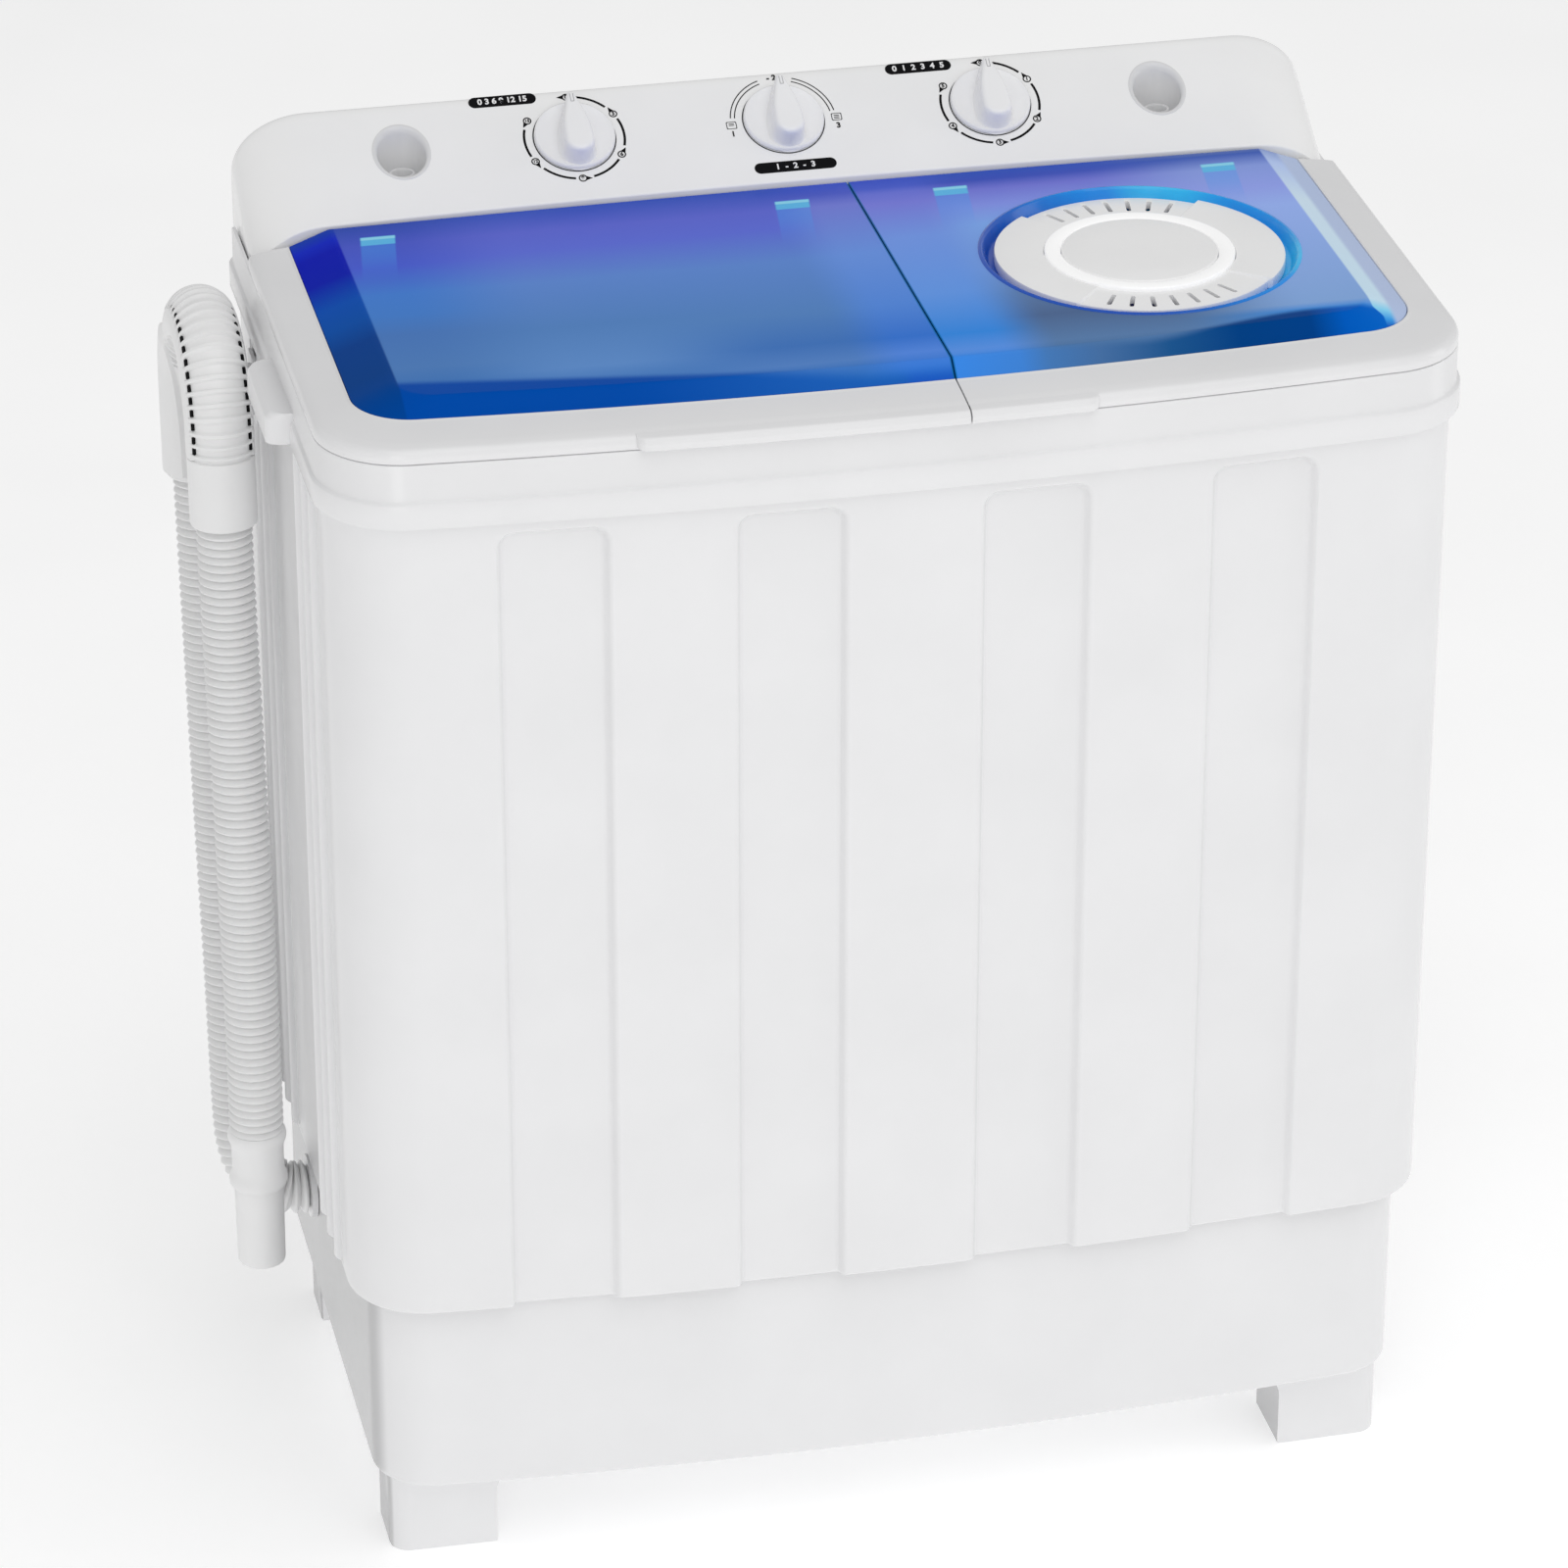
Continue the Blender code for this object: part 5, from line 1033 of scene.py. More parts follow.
def make_vent(m):
    """The vent: a blue dish, a slotted disc with two raised lobes, a bright ring and a centre cap."""
    floor, top = PLATEAU - 0.008, 0.8145
    blue, white = ("spin_lid", "lid_blue"), ("spin_lid", "cabinet_white")
    rim = (
        (0.0862, floor - 0.0025), (0.0862, floor), (0.0945, floor), (0.0955, floor + 0.0004),
        (0.0962, floor + 0.0014), (0.0985, PLATEAU - 0.0008), (0.099, PLATEAU + 0.0004),
        (0.0999, PLATEAU + 0.001), (0.1012, PLATEAU + 0.0008), (0.102, PLATEAU + 0.0001),
        (0.102, PLATEAU - 0.0006), (0.0997, PLATEAU - 0.0008), (0.0997, floor - 0.001),
        (0.0982, floor - 0.0025),
    )
    turned("vent_dish", rim, m["blue"], VENT, blue, ring=True)

    count, low, inner = 384, floor + 0.0004, 0.0607
    raised = []
    for i in range(count):
        a = 360 * i / count
        raised.append(1.0 if min(abs(a - 5), abs(a - 365)) < 46 or abs(a - 180) < 50 else 0.0)

    def ring(share, z_low, z_high, edge=0.0):
        row = []
        for i, up in enumerate(raised):
            x, y = polar(inner + (0.0893 + 0.0024 * up - inner) * share - edge, 2 * math.pi * i / count)
            row.append((VENT[0] + x, VENT[1] + y, z_low + (z_high - z_low) * up))
        return row

    rows = [ring(0.0, low, low), ring(1.0, low, low), ring(1.0, top - 0.0009, top + 0.0007)]
    rows += [ring(1.0, top - 0.0002, top + 0.0014, 0.0003), ring(1.0, top, top + 0.0016, 0.001)]
    rows += [ring(share, top, top + 0.001) for share in (0.1, 0.0)]
    disc = Solid().rows(rows, ring=True).build("vent_face", m["disc"], 30)
    slots = Solid()
    for first in (60.7, 241.5):
        for i in range(7):
            turn = spun(VENT, math.radians(first + 9.9 * i))
            slots.prism(rounded(0.0755, 0, 0.008, 0.0015, 0.00145, 4), turn, low - 0.002, top + 0.004)
    cut(disc, slots)
    put(disc, white, "vent_disc")
    well = ((0.085, floor - 0.0035), (0.085, floor - 0.0024), (0.04, floor - 0.0024))
    turned("vent_well", well, m["well"], VENT, blue, count=64)
    z = top + 0.0004
    inner, outer = 0.0499, 0.0601
    profile = (
        (inner, z - 0.004), (outer, z - 0.004), (outer, z + 0.0012), (outer - 0.0006, z + 0.002),
        (outer - 0.0016, z + 0.0023), (inner + 0.0014, z + 0.0023), (inner + 0.0004, z + 0.0018),
        (inner, z + 0.001),
    )
    turned("vent_bright_ring", profile, m["ring"], VENT, white, "vent_ring", ring=True)
    r = 0.0492
    profile = ((r, z - 0.004), (r, z + 0.0014), (r - 0.0005, z + 0.0021), (r - 0.0015, z + 0.0024))
    profile += ((r * 0.6, z + 0.0027), (r * 0.25, z + 0.0028))
    turned("vent_centre_cap", profile, m["cap"], VENT, white, "vent_cap")


def make_lids(m):
    for lid, side, mat, lip_end in (("wash", -1, m["left"], -0.172), ("spin", 1, m["right"], 0.113)):
        seam = SEAM + side * SEAM_HALF
        make_lid(f"{lid}_lid", seam, side, lip_end, m)
        make_window(f"{lid}_lid", lid, seam, side, mat)
    make_hinges(m)
    make_vent(m)


# ---- console


def face_z(y):
    return PLATEAU + (y - CON_FRONT) * math.tan(SLOPE)


def on_face(x, s):
    """A frame on the console's flat face: X to the right, Y up the slope, Z out of it."""
    y, z = CON_FRONT + s * math.cos(SLOPE), PLATEAU + s * math.sin(SLOPE)
    return Matrix.Translation((x, y, z)) @ Matrix.Rotation(SLOPE, 4, "X")


def make_console(m):
    """The console: a sloping face with rolled ends, and a hole for each water inlet."""
    edge = HALF - ROLL
    angles = (0, 4, 8, 13, 18, *range(24, 79, 6), 83, 87, 90)
    right = [edge + ROLL * math.sin(math.radians(a)) for a in angles]
    rows = []
    for x in [-x for x in reversed(right)] + even(-edge, edge, 41)[1:-1] + right:
        into = min(max(0.0, (abs(x) - edge) / ROLL), 1.0)
        fall = DROP * (1 - math.sqrt(1 - into**2))
        front = CON_FRONT + CON_BOW * (1 - (x / HALF) ** 2)
        z_front = max(face_z(front) - fall, CON_LOW + 0.002)
        z_rear = max(face_z(CON_REAR) - fall, z_front + 0.001)
        corners = [(front, CON_LOW), (front, z_front), (CON_REAR, z_rear), (CON_REAR, CON_LOW)]
        rows.append([(x, p.x, p.y) for p in fillet(corners, (0, 0.0022, 0.0075, 0), 7)])
    rows[0:0] = [toward(rows[0], 0.02)]
    rows.append(toward(rows[-1], 0.02))
    shell = Solid().rows(rows).build("console_cover", m["console"], 40)
    centre_y = CON_FRONT + CONTROL_S * math.cos(SLOPE)
    for x in INLETS.values():
        hole = circle(x, centre_y, INLET_R + 0.0016, 64)
        cut(shell, Solid().rows([lift(hole, face_z(centre_y) + rise) for rise in (-0.036, 0.03)]))
    put(shell, ("cabinet", "console_white"), "console_shell")
    for name, x in INLETS.items():
        make_inlet(name, x, centre_y, m)


def make_inlet(name, x, y, m):
    """A water inlet: an upright cup with a soft rim on the slope, and a spigot on its floor."""
    r, floor = INLET_R, face_z(y) - 0.022
    rim = ((0.001, -0.0012), (0.0034, -0.0004), (0.0034, 0.0002), (0.0028, 0.0005), (0.0018, 0.0003))
    rim += ((0.0009, -0.0004), (0.0003, -0.0014), (0.0, -0.0028))
    cup = ((r - 0.0002, 0.0036), (r - 0.001, 0.0014), (r - 0.0026, 0.0), (0.0094, 0.0), (0.0086, 0.0008))
    cup += ((0.0085, 0.0072), (0.008, 0.008), (0.0068, 0.008), (0.0063, 0.0072), (0.0062, -0.008))
    rows = [lift(circle(x, y, r + 0.001), floor - 0.012)]
    for out, rise in rim:
        rows.append([(p[0], p[1], face_z(p[1]) + rise) for p in circle(x, y, r + out)])
    rows += [lift(circle(x, y, radius), floor + rise) for radius, rise in cup]
    # the cup and its rim are in the greyer plastic: painted shade inside the pocket
    Solid().rows(rows).piece(f"{name}_cup", m["cup"], ("cabinet", "console_white"), name, sharp=45)


def drop_shape(wide, nose, tail, tip):
    """A knob grip's plan: a round end below and a narrow, slightly full nose above."""
    low_y, swell = wide - tail, 0.002
    points = []
    for i in range(25):
        x, y = polar(wide, math.radians(180 + 7.5 * i))
        points.append((x, low_y + y))
    right = []
    for i in range(1, 16):
        t = i / 16
        half = wide * (1 - t) + tip * t + swell * math.sin(math.pi * t) * (1 - 0.3 * t)
        right.append((half, low_y + (nose - tip - low_y) * t))
    points += right
    for i in range(13):
        x, y = polar(tip, math.radians(15 * i))
        points.append((x, nose - tip + y))
    return points + [(-x, y) for x, y in reversed(right)]


def make_knob(name, x, m):
    """A knob: a dished disc with a drop-shaped grip, its pointer, and the shadow gap round it."""
    spot = on_face(x, CONTROL_S)
    r = KNOB_R
    disc = ((r - 0.0008, 0.0007), (r, 0.0014), (r, 0.0028), (r - 0.0004, 0.0036), (r - 0.0012, 0.004))
    disc += ((r - 0.0022, 0.0037), (r - 0.006, 0.0027), (0.01, 0.0018))
    solid = Solid().rows([on(spot, circle(0, 0, q, 96), h) for q, h in disc])
    # heights of the grip, and how far its outline is drawn in there
    levels = ((0.0012, -0.0034), (0.0022, -0.0022), (0.0034, -0.0012), (0.005, -0.0004), (0.007, 0.0))
    levels += ((0.014, 0.0006), (0.0158, 0.001), (0.017, 0.0016), (0.0177, 0.0026), (0.018, 0.0038))
    rows = []
    for h, inset in levels:
        nose = 0.0258 - inset * (1.0 if inset > 0 else 0.15)
        tip = max(0.001, 0.0032 - inset * 0.6)
        rows.append(on(spot, drop_shape(0.0104 - inset, nose, 0.0236 - inset, tip), h))
    rows.append(toward(rows[-1], 0.12))
    solid.rows(rows).piece(f"{name}_cap", m["knob"], (name, "console_white"), name, sharp=40)
    # the pointer groove is drawn as a grey U outline: painted shade along the groove's edges
    line = Solid()
    bars = ((-0.001, 0.019, 0.00028, 0.003), (0.001, 0.019, 0.00028, 0.003), (0.0, 0.0158, 0.0012, 0.00028))
    for bar in bars:
        line.prism(rounded(*bar, 0.00025, 3), spot, 0.0176, 0.01812)
    line.piece(f"{name}_pointer", m["mark"], (name, "inner_grey"), smooth=False)
    # a thin dark ring round the disc: painted shade in the gap
    gap = ((0.0001, -0.0003), (0.0009, -0.0003), (0.0009, 0.00008), (0.0001, 0.00008))
    ring = Solid().rows([on(spot, circle(0, 0, r + out, 96), h) for out, h in gap], ring=True)
    ring.piece(f"{name}_gap", m["gap"], PRINT_AND_SHADE, smooth=False)


def arc_mark(solid, spot, radius, width, start, end):
    """A printed arc; angles run clockwise from the top, in degrees."""
    angles = [math.radians(90 - a) for a in even(start, end, max(2, int(abs(end - start) / 3)) + 1)]
    outer, inner = ([polar(r, a) for a in angles] for r in (radius + width / 2, radius - width / 2))
    solid.prism(outer + inner[::-1], spot, *INK)


def frame_mark(solid, spot, outer, inner):
    """A printed frame between two outlines of equal count."""
    low, high = INK
    layers = ((inner, low), (outer, low), (outer, high), (inner, high))
    solid.rows([on(spot, line, h) for line, h in layers], ring=True)


def label(name, text, size, spot, mat, height=0.00014):
    """Small generic print, made into a mesh."""
    curve = bpy.data.curves.new(name, "FONT")
    curve.body = text
    curve.size = size
    curve.align_x = "CENTER"
    curve.align_y = "CENTER"
    curve.extrude = 0.0001
    curve.offset = size * 0.03
    temp = shown(name, curve)
    mesh = baked(temp)
    bpy.data.objects.remove(temp, do_unlink=True)
    mesh.transform(spot @ Matrix.Translation((0, 0, height)))
    mesh.materials.clear()
    mesh.materials.append(mat)
    put(shown(name, mesh), PRINT_AND_SHADE)


def make_marks(m):
    """The print on the console: two scales, the selector's arcs and signs, and three number fields."""
    marks = Solid()
    ring_r = 0.0325
    for number, x in enumerate((KNOBS["wash_timer_knob"], KNOBS["spin_timer_knob"])):
        for k in range(6):
            a = math.radians(90 - 60 * k)
            spot = on_face(x, CONTROL_S) @ Matrix.Translation((*polar(ring_r, a), 0))
            frame_mark(marks, spot, circle(0, 0, 0.0028, 24), circle(0, 0, 0.002, 24))
            # a wedge that points back along the scale
            back = spot @ Matrix.Rotation(a, 4, "Z")
            marks.prism([(-0.0016, 0.002), (0.0018, 0.002), (0.0004, 0.0062)], back, *INK)
            digit = str(k if number else 3 * k)
            label(f"dial_{number}_{k}", digit, 0.004 if len(digit) == 1 else 0.0032, spot, m["print"])
            if k < 5:
                arc_mark(marks, on_face(x, CONTROL_S), ring_r, 0.0016, 60 * k + 8, 60 * k + 47)
    centre = on_face(0.0, CONTROL_S)
    for r in (0.0318, 0.0345):
        arc_mark(marks, centre, r, 0.0007, -82, -19)
        arc_mark(marks, centre, r, 0.0007, 19.5, 82.7)
    for cx, bars in ((-0.0345, 2), (0.035, 3)):
        spot = centre @ Matrix.Translation((cx, -0.001, 0.0))
        frame_mark(marks, spot, *[rounded(0, 0, w, w * 0.85, 0.0008, 3) for w in (0.0034, 0.0029)])
        for k in range(bars):
            marks.prism(rounded(0, 0.0012 - 0.0012 * k, 0.0018, 0.00025, 0.0002, 2), spot, *INK)
    signs = (("left", "1", -0.0345, -0.008), ("top", "- 2 -", 0.0, 0.0342), ("right", "3", 0.035, -0.008))
    for name, text, cx, cy in signs:
        label(f"selector_{name}", text, 0.0058, centre @ Matrix.Translation((cx, cy, 0)), m["print"])
    face = on_face(0.0, 0.0)
    for name, text, cx, cy, wide in (
        ("wash", "0 3 6 9 12 15", -0.179, 0.088, 0.044),
        ("spin", "0  1  2  3  4  5", 0.096, 0.087, 0.044),
        ("mode", "1  -  2  -  3", 0.001, 0.017, 0.054),
    ):
        marks.prism(rounded(cx, cy, wide / 2, 0.0042, 0.00415, 8), face, -0.0003, 0.0001)
        spot = face @ Matrix.Translation((cx, cy, 0))
        label(f"{name}_label", text, 0.006, spot, m["print_white"], 0.00022)
    marks.piece("console_print", m["print"], PRINT_AND_SHADE, smooth=False)


# ---- hose


def smooth_route(points, step):
    """Points about `step` apart on a Catmull-Rom curve through the given points."""
    spots = [Vector(p) for p in points]
    ends = [spots[0] * 2 - spots[1]] + spots + [spots[-1] * 2 - spots[-2]]
    fine = []
    for a, b, c, d in zip(ends, ends[1:], ends[2:], ends[3:]):
        for k in range(16):
            t = k / 16
            square = (2 * a - 5 * b + 4 * c - d) * t**2
            cube = (3 * b - a - 3 * c + d) * t**3
            fine.append(0.5 * (2 * b + (c - a) * t + square + cube))
    fine.append(spots[-1])
    walked = walk(fine)
    count = max(2, round(walked[-1] / step))
    places = np.interp(np.linspace(0, walked[-1], count + 1), walked, np.arange(len(fine)))
    result = []
    for place in places:
        i = min(int(place), len(fine) - 2)
        result.append(fine[i].lerp(fine[i + 1], place - i))
    return result


def heading(points, i):
    return (points[min(i + 1, len(points) - 1)] - points[max(i - 1, 0)]).normalized()


def rings(points, radius, count):
    """Rings square to a route; `radius` gives the radius at a station and an angle from +X."""
    rows = []
    last = Vector((1, 0, 0))
    for i, spot in enumerate(points):
        ahead = heading(points, i)
        last = (last - ahead * last.dot(ahead)).normalized()
        other = ahead.cross(last)
        row = []
        for k in range(count):
            a = 2 * math.pi * k / count
            x, y = polar(radius(i, a), a)
            row.append(spot + last * x + other * y)
        rows.append(row)
    return rows


def make_hose(m):
    """The corrugated drain hose, with its nozzle and its hook."""
    start = Vector((OUTLET[0] - 0.005, OUTLET[1], OUTLET[2]))
    route = smooth_route([start, *HOSE_ROUTE], HOSE_PITCH / 8)
    walked = walk(route)

    def radius(i, a):
        swell = 0.5 - 0.5 * math.cos(2 * math.pi * walked[i] / HOSE_PITCH)
        return HOSE_R - GROOVE + GROOVE * swell**0.55

    hose = Solid().rows(rings(route, radius, 28))
    hose = hose.piece("drain_hose_tube", m["hose"], ("cabinet", "hose_white"), "drain_hose", sharp=60)
    nozzle = make_nozzle(route, m)
    hook = make_hook(m)


def make_nozzle(route, m):
    """The hose's end nozzle; each point is a distance past the hose's end, and a radius."""
    profile = (
        (0.0004, 0.016), (0.0004, 0.0178), (0.0016, 0.0188), (0.004, 0.0194), (0.0066, 0.0192),
        (0.01, 0.018), (0.0125, 0.0173), (0.02, 0.0171), (0.029, 0.0172), (0.032, 0.0177), (0.0345, 0.0187),
        (0.037, 0.0193), (0.0395, 0.0192), (0.0415, 0.0183), (0.0428, 0.0168), (0.0434, 0.0163),
        (0.06, 0.0161), (0.0985, 0.0157), (0.0998, 0.0154), (0.1004, 0.0148), (0.1, 0.014), (0.098, 0.0137),
        (0.05, 0.0136),
    )
    ahead = (route[-1] - route[-3]).normalized()
    side = Vector((1, 0, 0))
    other = ahead.cross(side)
    nozzle, rows = Solid(), []
    for d, r in profile:
        rows.append([route[-1] + ahead * d + side * x + other * y for x, y in circle(0, 0, r, 48)])
    nozzle.rows(rows)
    return nozzle.piece("hose_nozzle_tube", m["hose"], ("cabinet", "hose_white"), "hose_nozzle", sharp=40)


def make_hook(m):
    """The moulded hook over the arch: raised bands, smooth side rails with slots, and plain ends."""
    route = smooth_route(HOSE_ROUTE, 0.0005)
    top = max(range(len(route)), key=lambda i: route[i].z)
    arch = [(p, i < top) for i, p in enumerate(route) if p.z > (0.64 if i < top else 0.655)]
    points = [p for p, rear in arch]
    walked = walk(points)
    cuff = next(s for s, (p, rear) in zip(walked, arch) if not rear and p.z < 0.702)
    sleeve = next(s for s, (p, rear) in zip(walked, arch) if rear and p.z > 0.728)
    pitch = (cuff - sleeve) / 23
    rounding = 0.0022

    def radius(i, a):
        s = walked[i]
        # side rails at both ends of the X diameter keep one radius along the bands
        if sleeve < s < cuff and abs(math.cos(a)) > 0.9:
            return 0.0218
        r = 0.0216
        if sleeve <= s <= cuff:
            into = max(0.0, 1 - abs((s - sleeve) / pitch % 1.0 - 0.5) / 0.2)
            r = 0.02 + 0.0022 * min(1.0, 2.2 * into) ** 0.5 - 0.0004 * max(0.0, into - 0.6)
        return r - rounding * (1 - dome(min(s, walked[-1] - s) / rounding))

    outer, inner = rings(points, radius, 64), rings(points, lambda i, a: 0.0186, 64)
    hook = Solid().rows(outer + inner[::-1], ring=True)
    hook = hook.piece("hose_hook_arch", m["hose"], ("cabinet", "hose_white"), "hose_hook")
    # the slots are dark inserts: painted shade in the openings
    slots = Solid()
    side = Vector((1, 0, 0))
    for number in range(1, 23):
        i = min(range(len(walked)), key=lambda k: abs(walked[k] - sleeve - number * pitch))
        if points[i].y > 0.128:
            continue
        ahead = heading(points, i)
        for along, over in ((-0.86, -0.5), (-0.86, 0.5), (0.86, -0.5), (0.86, 0.5)):
            out = (side * along + ahead.cross(side) * over).normalized()
            across = ahead.cross(out)
            corners = [points[i] + ahead * (u * 0.0021) + across * (v * 0.001) for u, v in SQUARE]
            slots.rows([[c + out * r for c in corners] for r in (0.0198, 0.0214)])
    slots.piece("hose_hook_slots", m["print"], PRINT_AND_SHADE, smooth=False)
    make_leaf(points, walked, m)
    return hook


def make_leaf(points, walked, m):
    """A leaf-shaped cover on the outer side of the rear leg, pointed above and square below."""
    first = next(i for i, s in enumerate(walked) if s > 0.004)
    final = next(i for i, s in enumerate(walked) if s > 0.112)
    side = Vector((-1, 0, 0))
    rows = []
    for i in range(first, final, 3):
        share = (i - first) / (final - first)
        reach = math.radians(62) * math.sqrt(1 - share**2.6)
        other = heading(points, i).cross(side)
        outer, inner = [], []
        for across in even(-1, 1, 17):
            x, y = polar(1.0, reach * across)
            out = side * x + other * y
            rim = 1 - max(0.0, abs(across) - 0.86) / 0.14
            thick = 0.0026 * math.sqrt(max(0.0, rim)) * min(1.0, (1 - share) * 12)
            outer.append(points[i] + out * (0.0214 + thick))
            inner.append(points[i] + out * 0.019)
        rows.append(outer + inner[::-1])
    Solid().rows(rows).piece("hose_hook_cover", m["hose"], ("cabinet", "hose_white"))


# ---- inner parts


def make_basket(m):
    """The spin basket: a rolled rim, a drilled wall and a raised hub in its floor."""
    r, low, high = 0.112, 0.345, 0.735
    # up the outside from the middle of the floor, over the rim, and down the inside to the hub
    profile = [(0.004, low + 0.0016), (0.06, low + 0.0016), (r - 0.006, low + 0.0016)]
    profile += [(r - 0.002, low + 0.003), (r, low + 0.007)]
    rim = ((0.0, 0.0014), (0.0006, 0.0004), (0.0018, 0.0), (0.0086, 0.0), (0.0097, 0.0006), (0.01, 0.0018))
    rim += ((0.0094, 0.0028), (0.004, 0.004), (0.0024, 0.0052), (0.002, 0.007))
    profile += [(r - inset, high - drop) for inset, drop in rim]
    hub = ((r - 0.002, 0.012), (r - 0.003, 0.008), (r - 0.006, 0.0058), (0.06, 0.005), (0.036, 0.0056))
    hub += ((0.03, 0.012), (0.026, 0.023), (0.018, 0.029), (0.004, 0.03))
    profile += [(radius, low + rise) for radius, rise in hub]
    rows = offsets(lambda radius: circle(*SPIN, radius, 96), profile)
    basket = Solid().rows(rows, ring=True).build("basket_wall", m["basket"])
    drills = Solid()
    for level in range(9):
        for i in range(16):
            turn = spun(SPIN, 2 * math.pi * (i + 0.5 * (level % 2)) / 16, 0.392 + 0.036 * level)
            drills.prism(circle(0, 0, 0.003, 8), turn @ QUARTER, r - 0.007, r + 0.004)
    cut(basket, drills)
    put(basket, ("spin_basket", "zinc_steel"), "spin_basket")


def make_pulsator(m):
    """The pulsator: a dished disc with a rolled edge, six swept fins and a domed hub."""
    z, r = 0.333, 0.118
    profile = ((0.01, 0.0002), (r - 0.003, 0.0002), (r - 0.0006, 0.001), (r, 0.003), (r - 0.0008, 0.0048))
    profile += ((r - 0.003, 0.0056), (r * 0.86, 0.0062), (r * 0.7, 0.01), (0.06, 0.0135), (0.042, 0.018))
    profile += ((0.035, 0.024), (0.031, 0.031), (0.025, 0.0355), (0.015, 0.0375), (0.004, 0.038))
    disc = Solid().rows([lift(circle(*WASH, radius, 96), z + rise) for radius, rise in profile])
    # distance from the centre, half width and height along a fin, and the fin's section
    fin = ((0.018, 0.007, 0.033), (0.04, 0.009, 0.036), (0.065, 0.01, 0.033))
    fin += ((0.09, 0.008, 0.025), (0.108, 0.005, 0.013), (0.113, 0.002, 0.006))
    for i in range(6):
        rows = []
        for d, half, height in fin:
            sweep = 0.01 * math.sin(math.pi * (d - 0.018) / 0.095)
            arch = [(-1, 0.002), (-0.72, height * 0.62), (-0.4, height * 0.94), (0, height)]
            arch += [(-across, rise) for across, rise in arch[2::-1]]
            turn = spun(WASH, math.pi / 3 * i, z)
            rows.append([turn @ Vector((d, sweep + across * half, rise)) for across, rise in arch])
        disc.rows(rows)
    disc.piece("pulsator_disc", m["agitator"], ("pulsator", "lid_blue"), "pulsator", sharp=40)


def make_filter(m):
    """The lint filter: a rounded frame with two slatted windows and a grip recess at its top."""
    thick, half_y, half_z = 0.01, 0.0315, 0.157
    # in this frame X runs down, Y across the filter and Z through it
    lay = Matrix.Translation((-0.0418, -0.018, 0.567)) @ QUARTER
    outer = rounded(0, 0, half_z, half_y, 0.006, 6)
    inset = rounded(0, 0, half_z - 0.0008, half_y - 0.0008, 0.0052, 6)
    layers = ((inset, 0.0), (outer, 0.0008), (outer, thick - 0.0008), (inset, thick))
    body = Solid().rows([on(lay, line, h) for line, h in layers]).build("filter_frame", m["agitator"], 40)
    windows, slats = Solid(), Solid()
    for x in (-0.06, 0.08):
        windows.prism(rounded(x, 0, 0.063, 0.0245, 0.005, 6), lay, -0.002, thick + 0.002)
        for i in range(7):
            slats.prism(rounded(x, 0.007 * (i - 3), 0.0635, 0.0012, 0.0004, 2), lay, 0.0025, 0.0075)
        for i in range(19):
            slats.prism(rounded(x + 0.0064 * (i - 9), 0, 0.0006, 0.025, 0.0003, 2), lay, 0.0042, 0.0058)
    windows.prism(rounded(-0.141, 0, 0.007, 0.018, 0.0068, 6), lay, -0.002, 0.004)
    cut(body, windows)
    tie = ("lint_filter", "lid_blue")
    put(body, tie, "lint_filter")
    slats.piece("filter_slats", m["tub"], tie, "lint_filter", sharp=40)


def recolour(m):
    """Gives every CAD node its material."""
    by_slot = {
        "cabinet_white": "white",
        "console_white": "console",
        "lid_blue": "agitator",
        "hose_white": "hose",
        "tub_white": "tub",
        "inner_grey": "grey",
        "rubber_black": "rubber",
        "zinc_steel": "steel",
        "motor_steel": "motor",
    }
    slots = {row["node"]: row["material_slot"] for row in frame["record"]["subparts"]}
    slots["hose_outlet"] = "cabinet_white"
    for name, node in frame["nodes"].items():
        node.data.materials.clear()
        node.data.materials.append(m[by_slot[slots[name]]])


# ---- camera, floor and light


def aim(thing, spot, direction):
    """Places a camera or a light and points it."""
    thing.location = spot
    thing.rotation_mode = "QUATERNION"
    thing.rotation_quaternion = Vector(direction).to_track_quat("-Z", "Y")


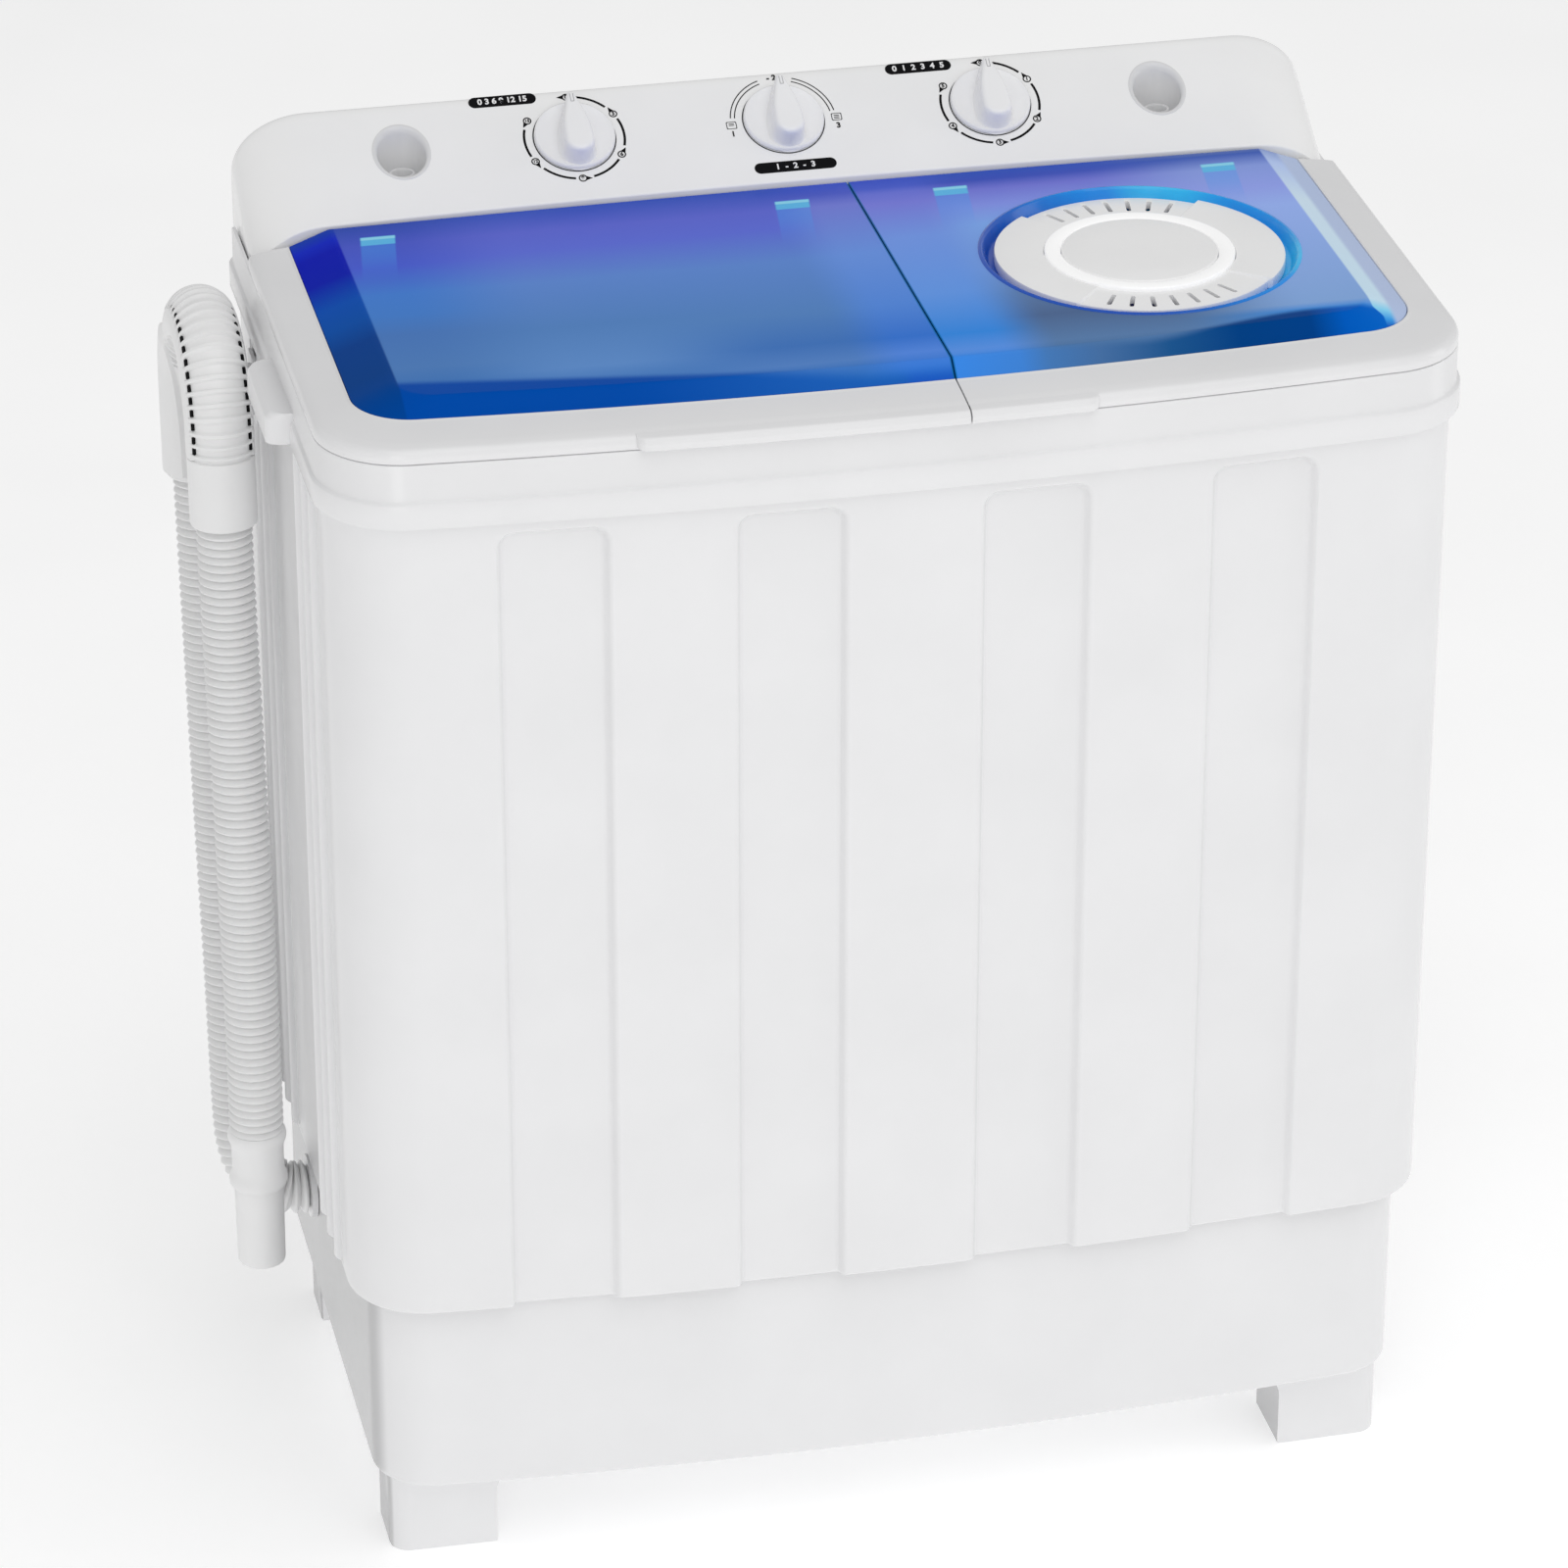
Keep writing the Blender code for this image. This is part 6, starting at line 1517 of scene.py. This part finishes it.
def make_camera():
    data = bpy.data.cameras.new("camera")
    data.lens = 157.32
    data.sensor_width = 36.0
    data.clip_end = 60.0
    camera = shown("camera", data)
    aim(camera, (-0.8953, -3.8463, 2.5308), (0.1925, 0.86326, -0.46662))
    bpy.context.scene.camera = camera


def area(name, spot, height, size, power):
    """A soft rectangular light that points at a height on the washer's axis."""
    data = bpy.data.lights.new(name, "AREA")
    data.shape = "RECTANGLE"
    data.size, data.size_y = size
    data.energy = power
    aim(shown(name, data), spot, Vector((0, 0, height)) - Vector(spot))


def make_studio():
    s = Shader("floor_white")
    s.colour(s.ramp(s.noise(3.0), [(0.3, (0.9, 0.9, 0.9, 1)), (0.7, (0.93, 0.93, 0.93, 1))]))
    s.value("Roughness", 0.9)
    s.value("Specular IOR Level", 0.1)
    s.value("Emission Color", (1, 1, 1, 1))
    s.value("Emission Strength", 0.31)
    half = 12.0
    floor = Solid()
    floor.verts = [(half * u, half * v, 0) for u, v in SQUARE]
    floor.faces = [(0, 1, 2, 3)]
    floor.build("floor", s.mat, smooth=False)
    world = bpy.data.worlds.new("studio")
    world.use_nodes = True
    back = world.node_tree.nodes["Background"]
    back.inputs["Color"].default_value = (1, 1, 1, 1)
    back.inputs["Strength"].default_value = 0.54
    bpy.context.scene.world = world
    area("key", (0.5, -3.8, 1.8), 0.45, (2.6, 2.4), 4)
    area("top", (0.1, -1.8, 3.6), 0.6, (3.0, 3.0), 30)
    area("left", (-1.3, -3.4, 1.2), 0.45, (0.8, 2.0), 9)
    area("right", (3.2, -0.6, 1.4), 0.5, (1.2, 2.2), 9)
    view = bpy.context.scene.view_settings
    view.view_transform = "Standard"
    view.look = "None"


def main():
    m = make_materials()
    make_camera()
    recolour(m)
    make_hose(m)
    make_cabinet(m)
    make_base(m)
    make_back(m)
    make_top_frame(m)
    make_lids(m)
    make_console(m)
    make_basket(m)
    make_pulsator(m)
    make_filter(m)
    for name, x in KNOBS.items():
        make_knob(name, x, m)
    make_marks(m)
    make_studio()


main()
